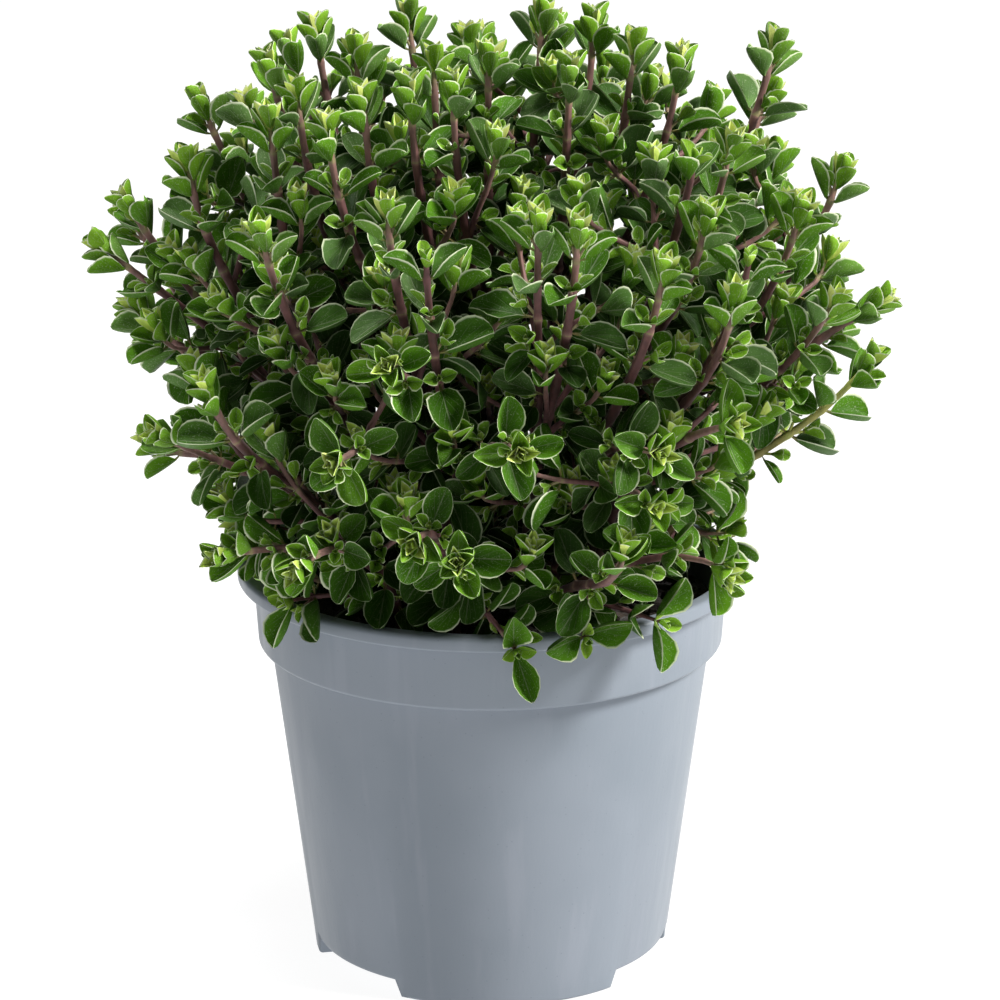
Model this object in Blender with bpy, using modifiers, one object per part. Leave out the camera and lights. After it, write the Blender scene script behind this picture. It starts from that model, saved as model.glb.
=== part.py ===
"""Potted marjoram: branching leafy stems rooted in peat, in a tapered plastic nursery pot.

Metres, +Z up. The origin is on the pot's axis, on the surface that its three feet stand on.
-Y is the front. Each rooted stem, with its side shoots and leaves, is joined into one solid.
"""
import bpy
import bmesh
import math
import random
from mathutils import Matrix, Vector
from mathutils.bvhtree import BVHTree
from mathutils.kdtree import KDTree

MM = 0.001

# Pot: the rim's diameter is the driving size, and the rest follows the pot's own steps.
POT_SEGMENTS = 32
POT_HEIGHT = 105.3 * MM
LIP_RADIUS = 65.0 * MM
LIP_HEIGHT = 3.7 * MM
LIP_ROUNDING = 1.0 * MM
COLLAR_HEIGHT = 17.0 * MM
COLLAR_TOP_RADIUS = 60.9 * MM
COLLAR_FOOT_RADIUS = 59.8 * MM
BODY_TOP_RADIUS = 56.5 * MM
BODY_FOOT_RADIUS = 45.9 * MM
WALL = 1.3 * MM
FLOOR_UNDERSIDE = 4.7 * MM
FOOT_HEIGHT = 4.3 * MM
FOOT_INNER_RADIUS = 41.2 * MM
FOOT_COUNT = 3
FOOT_SPAN = math.radians(74)
FRONT_FOOT_TURN = math.radians(7)
DRAIN_HOLE_RADIUS = 4.5 * MM
DRAIN_HOLE_RING = 27.0 * MM
DRAIN_HOLE_COUNT = 6
DRAIN_HOLE_SIDES = 8

# Peat: it fills the pot to just under the rim.
FIT_GAP = 0.35 * MM
SOIL_EDGE_HEIGHT = 93.0 * MM
SOIL_CROWN_HEIGHT = 96.0 * MM

# Stems: square tubes. A rooted stem stands in a plain hole, and side shoots leave it higher up.
ROOT_DEPTH = 11.0 * MM
ROOT_RISE = 4.0 * MM
ROOT_FIELD_RADIUS = 49.0 * MM
STEM_ROOT_RADIUS = 1.3 * MM
SHOOT_RADIUS = 0.95 * MM
SHOOT_SUNK_RADIUS = 0.5 * MM
STEM_TIP_RADIUS = 0.72 * MM
STEM_RUNS = 4
SHOOT_RUNS = 3
STEM_CLEARANCE = 3.2 * MM
SHOOT_START = 0.42

# Bush: the tips lie on a rounded dome, wider than the pot. DOME_CENTRE is at its widest level.
DOME_CENTRE = Vector((0.0, -1.2 * MM, 157.0 * MM))
DOME_RADIUS = 96.5 * MM
DOME_RISE = 90.0 * MM
DOME_SQUARENESS = 2.4

# The planting plan is drawn as the bush looks from the front and slightly above.
EYE_DISTANCE = 1200.0 * MM
EYE_TILT = math.radians(17.0)
PLAN_CENTRE = Vector((2.5 * MM, 0.0, 120.9 * MM))

# Leaves: thick-middled blades, in pairs that cross each other down the shoot. A pair is
# (millimetres below the tip, degrees out from the stem, share of a grown leaf's length).
LEAF_LENGTH = 13.4 * MM
LEAF_WIDTH_SHARE = 0.68
LEAF_THICKNESS = 1.2 * MM
LEAF_SINK = 0.1 * MM
LEAF_CLEARANCE = 0.5 * MM
LEAF_GROUND_CLEARANCE = 12.0 * MM
GROWN_PAIRS = ((17.0, 64, 0.94), (30.0, 70, 1.0))
BUD = ((0.8, 28, 0.56), (7.0, 54, 0.80)) + GROWN_PAIRS
ROSETTE = ((0.8, 46, 0.56), (3.0, 76, 0.82)) + GROWN_PAIRS
CUT = ((6.0, 58, 0.80),) + GROWN_PAIRS
SIDE_SHOOT_PAIRS = 3

# The planting plan. Each row is one rooted stem and its side shoots, and each shoot is
# (millimetres right of the plan's centre, millimetres above it, lean, tip). Lean is 0 for a
# shoot that ends upright and 1 for one that points straight out of the dome.
FRONT_PLANTS = (
    ((-47, 122, 0.3, BUD), (-37, 118, 0.2, BUD)),
    ((-59, 112, 0.4, BUD), (-52, 104, 0.2, BUD)),
    ((-80, 85, 0.2, BUD), (-59, 96, 0.2, BUD)),
    ((-35, 103, 0.2, BUD), (-44, 94, 0.2, BUD)),
    ((-17, 115, 0.2, BUD), (-23, 106, 0.2, BUD)),
    ((-3, 117, 0.2, BUD), (-12, 108, 0.1, BUD)),
    ((-95, 75, 0.5, BUD), (-101, 64, 0.7, BUD)),
    ((-61, 67, 0.3, BUD), (-42, 10, 0.9, ROSETTE)),
    ((-75, 28, 0.3, BUD), (-86, 16, 0.6, BUD)),
    ((-29, 73, 0.3, BUD), (-28, 34, 0.9, ROSETTE)),
    ((-19, 62, 0.2, CUT), (5, 12, 0.9, ROSETTE)),
    ((24, 125, 0.2, BUD), (18, 113, 0.2, BUD)),
    ((34, 119, 0.2, BUD), (46, 114, 0.2, BUD)),
    ((70, 117, 0.3, BUD), (59, 90, 0.3, BUD)),
    ((87, 83, 0.3, BUD), (77, 73, 0.3, BUD)),
    ((50, 88, 0.3, CUT), (53, 71, 0.3, BUD)),
    ((20, 68, 0.2, BUD), (10, 70, 0.3, BUD)),
    ((42, 58, 0.3, BUD), (40, 12, 0.9, ROSETTE)),
    ((64, 62, 0.2, CUT), (60, 51, 0.2, BUD)),
    ((96, 50, 0.7, BUD), (85, 50, 0.4, BUD)),
    ((94, 35, 0.4, BUD),),
    ((59, 19, 0.8, ROSETTE), (39, -1, 0.9, ROSETTE)),
    ((-22, -11, 0.8, BUD), (-11, -16, 0.6, BUD)),
    ((32, -13, 0.3, BUD), (57, -18, 0.9, ROSETTE)),
    ((-51, -17, 0.9, BUD), (-70, -14, 0.7, BUD)),
)

# The crown and the back, which the plan doesn't show: each stem's turn round the pot in degrees
# (0 is right, 90 is the back), and its shoots' millimetres above the dome's widest level.
BACK_PLANTS = (
    (62, (88, 74)),
    (128, (87, 72)),
    (24, (62, 36)),
    (93, (64, 38)),
    (158, (60, 34)),
    (50, (40, 4)),
    (122, (42, 6)),
    (20, (4, -32)),
    (90, (8, -30)),
    (146, (2, -30)),
)
BACK_LEAN = 0.5
BACK_SWING = 13


# Collections and materials
def fresh_collection(name, parent=None):
    collection = bpy.data.collections.new(name)
    (parent or bpy.context.scene.collection).children.link(collection)
    return collection


def plain_material(name, colour, roughness, metallic=0.0):
    material = bpy.data.materials.new(name)
    material.use_nodes = True
    shader = material.node_tree.nodes["Principled BSDF"]
    shader.inputs["Base Color"].default_value = (*colour, 1.0)
    shader.inputs["Roughness"].default_value = roughness
    shader.inputs["Metallic"].default_value = metallic
    return material


def object_from_mesh(name, mesh, collection, material=None):
    obj = bpy.data.objects.new(name, mesh)
    collection.objects.link(obj)
    if material is not None:
        mesh.materials.append(material)
    return obj


def keep_as_helper(obj, collection):
    """Hides a cutter, or a piece that is about to be joined, and files it away."""
    for owner in list(obj.users_collection):
        owner.objects.unlink(obj)
    collection.objects.link(obj)
    obj.hide_render = True
    obj.display_type = 'WIRE'
    return obj


def applied_mesh(obj):
    """A plain mesh of the object with its modifiers applied."""
    bpy.context.view_layer.update()
    graph = bpy.context.evaluated_depsgraph_get()
    return bpy.data.meshes.new_from_object(obj.evaluated_get(graph))


def mesh_from_curve(curve):
    """A closed mesh of a curve. Its caps are loose until they are welded."""
    guide = bpy.data.objects.new("guide", curve)
    bpy.context.scene.collection.objects.link(guide)
    mesh = applied_mesh(guide)
    bpy.data.objects.remove(guide)
    form = bmesh.new()
    form.from_mesh(mesh)
    bmesh.ops.remove_doubles(form, verts=form.verts, dist=0.01 * MM)
    form.to_mesh(mesh)
    form.free()
    return mesh


def join_or_cut(obj, collection, operation):
    change = obj.modifiers.new(operation.lower(), 'BOOLEAN')
    change.operation = operation
    change.operand_type = 'COLLECTION'
    change.collection = collection
    change.solver = 'EXACT'


# Turned pieces: the pot and the peat
def turned_object(name, profile, collection, material):
    """A profile of (radius, height) points, from the axis round to the axis, turned once."""
    mesh = bpy.data.meshes.new(name)
    points = [(radius, 0.0, height) for radius, height in profile]
    mesh.from_pydata(points, [(i, i + 1) for i in range(len(points) - 1)], [])
    obj = object_from_mesh(name, mesh, collection, material)
    turn = obj.modifiers.new("turn", 'SCREW')
    turn.angle = math.tau
    turn.steps = POT_SEGMENTS
    turn.render_steps = POT_SEGMENTS
    turn.use_merge_vertices = True
    turn.merge_threshold = 0.01 * MM
    turn.use_smooth_shade = True
    return obj


def pot_profile():
    """From the middle of the inner floor, up inside, over the lip, down outside to the feet."""
    collar_top = POT_HEIGHT - LIP_HEIGHT
    collar_foot = collar_top - COLLAR_HEIGHT
    floor_top = FLOOR_UNDERSIDE + WALL
    return [
        (0.0, floor_top),
        (BODY_FOOT_RADIUS - WALL, floor_top),
        (BODY_TOP_RADIUS - WALL, collar_foot + WALL),
        (COLLAR_FOOT_RADIUS - WALL, collar_foot + 2 * WALL),
        (COLLAR_TOP_RADIUS - WALL, POT_HEIGHT),
        (LIP_RADIUS - LIP_ROUNDING, POT_HEIGHT),
        (LIP_RADIUS, POT_HEIGHT - LIP_ROUNDING),
        (LIP_RADIUS, collar_top),
        (COLLAR_TOP_RADIUS, collar_top),
        (COLLAR_FOOT_RADIUS, collar_foot + LIP_ROUNDING),
        (COLLAR_FOOT_RADIUS - LIP_ROUNDING, collar_foot),
        (BODY_TOP_RADIUS, collar_foot),
        (BODY_FOOT_RADIUS, 0.0),
        (FOOT_INNER_RADIUS, 0.0),
        (FOOT_INNER_RADIUS - 0.4 * MM, FLOOR_UNDERSIDE),
        (0.0, FLOOR_UNDERSIDE),
    ]


def arc_points(radius, first, last, count):
    step = (last - first) / (count - 1)
    return [
        (radius * math.cos(first + i * step), radius * math.sin(first + i * step))
        for i in range(count)
    ]


def foot_gap_cutter(middle, collection):
    """A flat wedge as tall as a foot, which opens the foot ring between two feet."""
    half = (math.tau / FOOT_COUNT - FOOT_SPAN) / 2
    outline = arc_points(BODY_FOOT_RADIUS + 6 * MM, middle - half, middle + half, 5)
    outline += reversed(arc_points(FOOT_INNER_RADIUS - 3 * MM, middle - half, middle + half, 5))
    curve = bpy.data.curves.new("foot_gap", 'CURVE')
    curve.dimensions = '2D'
    curve.fill_mode = 'BOTH'
    curve.extrude = FOOT_HEIGHT
    spline = curve.splines.new('POLY')
    spline.points.add(len(outline) - 1)
    spline.use_cyclic_u = True
    for point, (x, y) in zip(spline.points, outline):
        point.co = (x, y, 0.0, 1.0)
    cutter = object_from_mesh("foot_gap_cutter", mesh_from_curve(curve), collection)
    keep_as_helper(cutter, collection)


def drain_hole_cutter(turn, collection):
    place = (DRAIN_HOLE_RING * math.cos(turn), DRAIN_HOLE_RING * math.sin(turn), FLOOR_UNDERSIDE)
    bpy.ops.mesh.primitive_cylinder_add(
        vertices=DRAIN_HOLE_SIDES, radius=DRAIN_HOLE_RADIUS, depth=6 * WALL, location=place,
    )
    keep_as_helper(bpy.context.active_object, collection).name = "drain_hole_cutter"


def build_pot(parts, helpers):
    plastic = plain_material("grey_blue_plastic", (0.29, 0.34, 0.39), 0.35)
    pot = turned_object("pot", pot_profile(), parts, plastic)
    cutters = fresh_collection("pot_cutters", helpers)
    front = -math.pi / 2 + FRONT_FOOT_TURN
    for i in range(FOOT_COUNT):
        foot_gap_cutter(front + (i + 0.5) * math.tau / FOOT_COUNT, cutters)
    for i in range(DRAIN_HOLE_COUNT):
        drain_hole_cutter((i + 0.25) * math.tau / DRAIN_HOLE_COUNT, cutters)
    join_or_cut(pot, cutters, 'DIFFERENCE')
    return pot


def soil_profile():
    """From the crown's middle, out to the wall, down along it and back to the axis."""
    collar_foot = POT_HEIGHT - LIP_HEIGHT - COLLAR_HEIGHT
    step_top = collar_foot + 2 * WALL + FIT_GAP
    inside = WALL + FIT_GAP
    taper = (COLLAR_TOP_RADIUS - COLLAR_FOOT_RADIUS) / (POT_HEIGHT - step_top)
    edge_radius = COLLAR_FOOT_RADIUS - inside + taper * (SOIL_EDGE_HEIGHT - step_top)
    return [
        (0.0, SOIL_CROWN_HEIGHT),
        (edge_radius * 0.8, SOIL_CROWN_HEIGHT - 0.4 * MM),
        (edge_radius, SOIL_EDGE_HEIGHT),
        (COLLAR_FOOT_RADIUS - inside, step_top),
        (BODY_TOP_RADIUS - inside, collar_foot + WALL + FIT_GAP),
        (BODY_FOOT_RADIUS - inside, FLOOR_UNDERSIDE + WALL + FIT_GAP),
        (0.0, FLOOR_UNDERSIDE + WALL + FIT_GAP),
    ]


def root_hole_cutter(root, collection):
    """A plain square hole, a little wider than the stem that stands in it."""
    side = 2 * (STEM_ROOT_RADIUS + FIT_GAP)
    height = ROOT_DEPTH + FIT_GAP + 8 * MM
    middle = root.z - ROOT_DEPTH - FIT_GAP + height / 2
    bpy.ops.mesh.primitive_cube_add(size=1.0, location=(root.x, root.y, middle))
    cutter = keep_as_helper(bpy.context.active_object, collection)
    cutter.name = "root_hole_cutter"
    cutter.data.transform(Matrix.Diagonal((side, side, height, 1.0)))


def build_soil(parts, helpers, roots):
    peat = plain_material("dark_peat", (0.018, 0.013, 0.010), 0.95)
    soil = turned_object("soil", soil_profile(), parts, peat)
    cutters = fresh_collection("root_cutters", helpers)
    for root in roots:
        root_hole_cutter(root, cutters)
    join_or_cut(soil, cutters, 'DIFFERENCE')
    return soil


# The dome that the tips lie on
def dome_level(point):
    """1 on the dome's surface, less inside it."""
    offset = point - DOME_CENTRE
    across = math.hypot(offset.x, offset.y) / DOME_RADIUS
    return across ** DOME_SQUARENESS + abs(offset.z / DOME_RISE) ** DOME_SQUARENESS


def dome_slope(point):
    """The direction that points straight out of the dome at this point."""
    offset = point - DOME_CENTRE
    out = (offset.x / DOME_RADIUS ** 2, offset.y / DOME_RADIUS ** 2, offset.z / DOME_RISE ** 2)
    return Vector(out).normalized()


def tip_from_plan(across, up):
    """Where the line of sight through a place in the plan first meets the dome."""
    ahead = Vector((0.0, math.cos(EYE_TILT), -math.sin(EYE_TILT)))
    upward = Vector((0.0, math.sin(EYE_TILT), math.cos(EYE_TILT)))
    eye = PLAN_CENTRE - ahead * EYE_DISTANCE
    mark = PLAN_CENTRE + Vector((across * MM, 0.0, 0.0)) + upward * (up * MM)
    sight = (mark - eye).normalized()
    steps = [eye + sight * (EYE_DISTANCE + i * MM) for i in range(-125, 60)]
    return next((p for p in steps if dome_level(p) <= 1.0), min(steps, key=dome_level))


def tip_from_turn(turn, height):
    """The place on the dome at this turn round the pot and height above the widest level."""
    reach = DOME_RADIUS * (1 - abs(height / DOME_RISE) ** DOME_SQUARENESS) ** (1 / DOME_SQUARENESS)
    angle = math.radians(turn)
    return DOME_CENTRE + Vector((reach * math.cos(angle), reach * math.sin(angle), height))


def planting():
    """Every rooted stem as a list of shoots, and every shoot as (tip place, lean, pairs)."""
    plants = [
        [(tip_from_plan(across, up), lean, pairs) for across, up, lean, pairs in row]
        for row in FRONT_PLANTS
    ]
    for turn, heights in BACK_PLANTS:
        tips = [
            tip_from_turn(turn + side * BACK_SWING, height * MM)
            for side, height in enumerate(heights)
        ]
        plants.append([(tip, BACK_LEAN, BUD) for tip in tips])
    return plants


# Stems
def bezier(a, b, c, d, t):
    s = 1 - t
    return a * s ** 3 + b * (3 * s * s * t) + c * (3 * s * t * t) + d * t ** 3


def bend(start, first_way, tip, last_way, runs):
    """Points along one smooth bend that leaves start in first_way and ends in last_way."""
    reach = (tip - start).length
    lift = start + (first_way * 0.33 + (tip - start).normalized() * 0.08) * reach
    hold = tip - last_way * 0.36 * reach
    return [bezier(start, lift, hold, tip, i / runs) for i in range(runs + 1)]


def end_way(tip, lean):
    return Vector((0.0, 0.0, 1.0)).lerp(dome_slope(tip), lean).normalized()


def stem_line(root, tip, lean):
    up = Vector((0.0, 0.0, 1.0))
    above = bend(root + up * ROOT_RISE, up, tip, end_way(tip, lean), STEM_RUNS)
    return [root - up * ROOT_DEPTH] + above


def place_along(line, share):
    """The place and direction at this share of a line's runs."""
    run = share * (len(line) - 1)
    low = min(int(run), len(line) - 2)
    return line[low].lerp(line[low + 1], run - low), (line[low + 1] - line[low]).normalized()


def shoot_line(stem, tip, lean, share):
    start, way = place_along(stem, share)
    return bend(start, way, tip, end_way(tip, lean), SHOOT_RUNS)


def line_samples(line, gap=2.0 * MM):
    samples = []
    for a, b in zip(line, line[1:]):
        count = max(1, int((b - a).length / gap))
        samples += [a.lerp(b, i / count) for i in range(count)]
    return samples + [line[-1]]


class Thicket:
    """The lines of the stems placed so far, and how much room a new line has among them."""

    def __init__(self):
        self.samples = []
        self.tree = None

    def add(self, lines):
        for line in lines:
            self.samples += line_samples(line)
        self.tree = KDTree(len(self.samples))
        for i, point in enumerate(self.samples):
            self.tree.insert(point, i)
        self.tree.balance()

    def room(self, line):
        if self.tree is None:
            return STEM_CLEARANCE
        return min(self.tree.find(point)[2] for point in line_samples(line))

    def roomiest(self, lines):
        """The first line that is clear of the others, or else the one with most room."""
        best, best_room = None, -1.0
        for line in lines:
            room = self.room(line)
            if room > best_room:
                best, best_room = line, room
            if room >= STEM_CLEARANCE:
                break
        return best


def root_choices(tip, lean):
    """Lines from places in the peat under a tip: the nearest first, then further round."""
    outward = Vector((tip.x, tip.y, 0.0))
    steepness = math.atan2(outward.length, tip.z - SOIL_CROWN_HEIGHT)
    radius = ROOT_FIELD_RADIUS * math.sin(steepness) ** 0.85
    for share in (1.0, 0.9, 1.05, 0.8, 0.7):
        for turn in (0, 5, -5, 10, -10, 16, -16, 24, -24, 34, -34, 46, -46):
            spot = Matrix.Rotation(math.radians(turn), 3, 'Z') @ outward.normalized()
            root = spot * min(radius * share, ROOT_FIELD_RADIUS)
            root.z = SOIL_CROWN_HEIGHT
            yield stem_line(root, tip, lean)


def stem_lines(plant, thicket):
    """The rooted stem's line, then one line for each side shoot."""
    tip, lean, _ = plant[0]
    stem = thicket.roomiest(root_choices(tip, lean))
    lines = [stem]
    for tip, lean, _ in plant[1:]:
        shares = [SHOOT_START + shift for shift in (0.0, 0.06, -0.06, 0.12, -0.12, 0.2)]
        lines.append(thicket.roomiest(shoot_line(stem, tip, lean, share) for share in shares))
    thicket.add(lines)
    return lines


def stem_tube(line, side_shoot):
    """A square tube along a line. A side shoot starts thin, inside the stem that carries it."""
    first_radius = SHOOT_RADIUS if side_shoot else STEM_ROOT_RADIUS
    curve = bpy.data.curves.new("stem", 'CURVE')
    curve.dimensions = '3D'
    curve.bevel_depth = 1.0
    curve.bevel_resolution = 0
    curve.use_fill_caps = True
    spline = curve.splines.new('POLY')
    spline.points.add(len(line) - 1)
    for i, (point, place) in enumerate(zip(spline.points, line)):
        share = max(0.0, (i - 1) / (len(line) - 2))
        point.co = (*place, 1.0)
        point.radius = first_radius + (STEM_TIP_RADIUS - first_radius) * share
    if side_shoot:
        spline.points[0].radius = SHOOT_SUNK_RADIUS
    return mesh_from_curve(curve)


# Leaves
def blade_form(length, cup, droop, grow=0.0):
    """A blade along +X with its face up: a flattened six-sided ball drawn out to a leaf.

    grow makes it that much bigger all round, to test the room that it needs.
    """
    half_width = length * LEAF_WIDTH_SHARE / 2
    # Along and across shares of the outline's corners, counted from the tip round to the base.
    outline = {0: (1.0, 0.0), 1: (0.80, 1.0), 2: (0.38, 0.80), 3: (0.0, 0.0)}
    form = bmesh.new()
    bmesh.ops.create_uvsphere(form, u_segments=6, v_segments=2, radius=1.0)
    for point in form.verts:
        if abs(point.co.z) > 0.5:
            rise = math.copysign(LEAF_THICKNESS / 2 + grow, point.co.z)
            point.co = (0.6 * length, 0.0, rise - cup * half_width * 0.6)
            continue
        corner = round(math.atan2(point.co.y, point.co.x) / (math.pi / 3))
        along, across = outline[abs(corner)]
        side = math.copysign(1.0, corner) if across else 0.0
        reach = along * length + grow if along > 0.5 else along * length - LEAF_SINK
        lift = cup * half_width * 0.5 * across ** 2 - droop * length * along ** 2
        point.co = (reach, side * (across * half_width + grow), lift)
    bmesh.ops.recalc_face_normals(form, faces=form.faces)
    return form


def leaf_frame(base, way, out_angle, turn):
    """The place of a blade that leaves the stem at out_angle from it, turned round it by turn."""
    level = (Matrix.Rotation(turn, 3, way) @ way.orthogonal()).normalized()
    along = (way * math.cos(out_angle) + level * math.sin(out_angle)).normalized()
    face = (way * math.sin(out_angle) - level * math.cos(out_angle)).normalized()
    frame = Matrix((along, face.cross(along), face)).transposed().to_4x4()
    frame.translation = base
    return frame


def tree_of(form, frame):
    points = [frame @ point.co for point in form.verts]
    return BVHTree.FromPolygons(points, [[p.index for p in face.verts] for face in form.faces])


def tree_of_mesh(mesh):
    points = [point.co for point in mesh.vertices]
    return BVHTree.FromPolygons(points, [list(face.vertices) for face in mesh.polygons])


def place_below_tip(line, distance):
    """The place and direction on a line at this distance below its tip."""
    left = distance
    for upper, lower in zip(reversed(line[1:]), reversed(line[:-1])):
        length = (upper - lower).length
        if left <= length:
            return upper.lerp(lower, left / length), (upper - lower).normalized()
        left -= length
    return line[0], (line[1] - line[0]).normalized()


class Bush:
    """Everything that a new leaf stays clear of: its owner, its tree and a ball round it."""

    def __init__(self):
        self.things = []

    def add(self, owner, tree, centre, reach):
        self.things.append((owner, tree, centre, reach))

    def add_tube(self, owner, mesh, line):
        middle = (line[0] + line[-1]) / 2
        reach = max((point - middle).length for point in line) + 2 * MM
        self.add(owner, tree_of_mesh(mesh), middle, reach)

    def has_room(self, relatives, tree, centre, reach):
        """Whether a blade is clear of all but its relatives: its own tube and its own pair."""
        return not any(
            owner not in relatives and (centre - middle).length < reach + radius
            and tree.overlap(thing)
            for owner, thing, middle, radius in self.things
        )


def leaf_wishes(seed, pairs):
    """Every leaf that a shoot wants, from its tip down.

    A wish is (level, distance below the tip, out angle, turn, length).
    """
    rng = random.Random(seed)
    start = rng.uniform(0, math.tau)
    wishes = []
    for level, (down, angle, size) in enumerate(pairs):
        for side in (0, 1):
            turn = start + level * math.pi / 2 + side * math.pi + rng.uniform(-0.25, 0.25)
            out_angle = math.radians(angle + rng.uniform(-6, 6))
            length = LEAF_LENGTH * size * rng.uniform(0.92, 1.06)
            wishes.append((level, down * MM, out_angle, turn, length))
    return rng, wishes


def leaf_trials(rng, out_angle, turn, length):
    """The wanted leaf first, then turned, lifted and smaller ones."""
    yield out_angle, turn, length
    for _ in range(7):
        lift = math.radians(rng.uniform(-22, 16))
        swing = math.radians(rng.uniform(-38, 38))
        yield out_angle + lift, turn + swing, length * rng.uniform(0.74, 1.0)


def grow_leaf(bush, shoot, line, rng, wish):
    """The first trial of a wanted leaf that has room, as (form, place), or None."""
    level, down, wanted_angle, wanted_turn, wanted_length = wish
    base, way = place_below_tip(line, down)
    if base.z < SOIL_CROWN_HEIGHT + LEAF_GROUND_CLEARANCE:
        return None
    cup = rng.uniform(0.35, 0.7)
    droop = rng.uniform(0.0, 0.12)
    relatives = {shoot, (shoot, level)}
    for out_angle, turn, length in leaf_trials(rng, wanted_angle, wanted_turn, wanted_length):
        frame = leaf_frame(base, way, out_angle, turn)
        centre = frame @ Vector((0.55 * length, 0.0, 0.0))
        reach = 0.6 * length
        roomy = blade_form(length, cup, droop, LEAF_CLEARANCE)
        clear = bush.has_room(relatives, tree_of(roomy, frame), centre, reach)
        roomy.free()
        if clear:
            form = blade_form(length, cup, droop)
            bush.add((shoot, level), tree_of(form, frame), centre, reach)
            return form, frame
    return None


def join_plant(name, tubes, leaves, parts, helpers, material):
    """One solid of a rooted stem, its side shoots and all their leaves."""
    plant = object_from_mesh(name, tubes[0], parts, material)
    pieces = fresh_collection(name + "_pieces", helpers)
    meshes = tubes[1:]
    for form, frame in leaves:
        mesh = bpy.data.meshes.new("blade")
        form.to_mesh(mesh)
        form.free()
        mesh.transform(frame)
        meshes.append(mesh)
    for mesh in meshes:
        keep_as_helper(object_from_mesh("piece", mesh, pieces), pieces)
    join_or_cut(plant, pieces, 'UNION')
    joined = applied_mesh(plant)
    plant.modifiers.clear()
    plant.data = joined
    for piece in list(pieces.objects):
        bpy.data.objects.remove(piece)
    bpy.data.collections.remove(pieces)


def build_plants(plants, all_lines, bush, parts, helpers):
    green = plain_material("marjoram_green", (0.07, 0.19, 0.04), 0.6)
    tubes, shoots = [], []
    for plant, lines in zip(plants, all_lines):
        tubes.append([stem_tube(line, side_shoot=i > 0) for i, line in enumerate(lines)])
        for i, (tube, line, (_, _, pairs)) in enumerate(zip(tubes[-1], lines, plant)):
            bush.add_tube(len(shoots), tube, line)
            pairs = pairs[:SIDE_SHOOT_PAIRS] if i else pairs
            shoots.append((len(tubes) - 1, line, *leaf_wishes(len(shoots), pairs)))
    # Leaves grow level by level, so that every shoot fills its tip before any fills its foot.
    leaves = [[] for _ in plants]
    for turn in range(max(len(wishes) for *_, wishes in shoots)):
        for shoot, (owner, line, rng, wishes) in enumerate(shoots):
            if turn < len(wishes):
                leaf = grow_leaf(bush, shoot, line, rng, wishes[turn])
                leaves[owner] += [leaf] if leaf else []
    for owner, plant_tubes in enumerate(tubes):
        name = f"leafy_stem_{owner + 1:02d}"
        join_plant(name, plant_tubes, leaves[owner], parts, helpers, green)


def main():
    for obj in list(bpy.data.objects):
        bpy.data.objects.remove(obj)
    parts = fresh_collection("potted_marjoram")
    helpers = fresh_collection("helpers")
    plants = planting()
    thicket = Thicket()
    all_lines = [stem_lines(plant, thicket) for plant in plants]
    roots = [lines[0][0] + Vector((0.0, 0.0, ROOT_DEPTH)) for lines in all_lines]
    pot = build_pot(parts, helpers)
    soil = build_soil(parts, helpers, roots)
    bush = Bush()
    pot_middle = Vector((0.0, 0.0, POT_HEIGHT / 2))
    for ground in (pot, soil):
        bush.add("ground", tree_of_mesh(applied_mesh(ground)), pot_middle, 90 * MM)
    build_plants(plants, all_lines, bush, parts, helpers)


main()
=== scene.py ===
"""Potted marjoram, dressed over its solids: the pot, the peat and one piece for each rooted stem.

Metres, +Z up, with -Y to the front. The stems, side shoots and grown leaves stand where the
solids have them. The small leaves between them, the veins and the downy margins are added here.
"""
import bmesh
import bpy
import itertools
import math
import random
from mathutils import Matrix, Vector
from mathutils.bvhtree import BVHTree
from mathutils.kdtree import KDTree


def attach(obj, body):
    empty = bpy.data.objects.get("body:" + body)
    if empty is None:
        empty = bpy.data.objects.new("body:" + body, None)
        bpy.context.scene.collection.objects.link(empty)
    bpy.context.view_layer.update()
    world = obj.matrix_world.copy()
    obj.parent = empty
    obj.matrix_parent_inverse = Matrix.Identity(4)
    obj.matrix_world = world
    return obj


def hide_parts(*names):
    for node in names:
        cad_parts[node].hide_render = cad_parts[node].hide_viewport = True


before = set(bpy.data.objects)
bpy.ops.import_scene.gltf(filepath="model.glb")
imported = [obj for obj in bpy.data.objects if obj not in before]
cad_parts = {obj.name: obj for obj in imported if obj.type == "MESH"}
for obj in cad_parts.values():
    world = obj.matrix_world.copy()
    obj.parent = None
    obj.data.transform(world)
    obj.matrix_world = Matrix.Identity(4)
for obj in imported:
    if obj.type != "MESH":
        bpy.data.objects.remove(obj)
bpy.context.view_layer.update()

# Camera and light. The plant is seen from 1.2 m away and slightly above, in soft daylight from
# the upper right on a white sweep. The picture's lower edge cuts off the front foot.
MM = 0.001
EYE_DISTANCE = 1200.0 * MM
EYE_TILT = math.radians(17.0)
PLAN_CENTRE = Vector((2.5 * MM, 0.0, 120.9 * MM))
AHEAD = Vector((0.0, math.cos(EYE_TILT), -math.sin(EYE_TILT)))
UPWARD = Vector((0.0, math.sin(EYE_TILT), math.cos(EYE_TILT)))
EYE = PLAN_CENTRE - AHEAD * EYE_DISTANCE
LENS_MM = 168.6

bpy.ops.object.camera_add(location=EYE, rotation=(math.pi / 2 - EYE_TILT, 0.0, 0.0))
camera = bpy.context.object
camera.name = "photo_camera"
camera.data.lens = LENS_MM
bpy.context.scene.camera = camera
bpy.context.scene.view_settings.view_transform = 'Standard'


def soft_light(name, place, size, watts, colour):
    """A square lamp that faces the middle of the plant."""
    turn = (PLAN_CENTRE - Vector(place)).to_track_quat('-Z', 'Y').to_euler()
    bpy.ops.object.light_add(type='AREA', location=place, rotation=turn)
    lamp = bpy.context.object
    lamp.name = name
    lamp.data.size = size
    lamp.data.energy = watts
    lamp.data.color = colour


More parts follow.
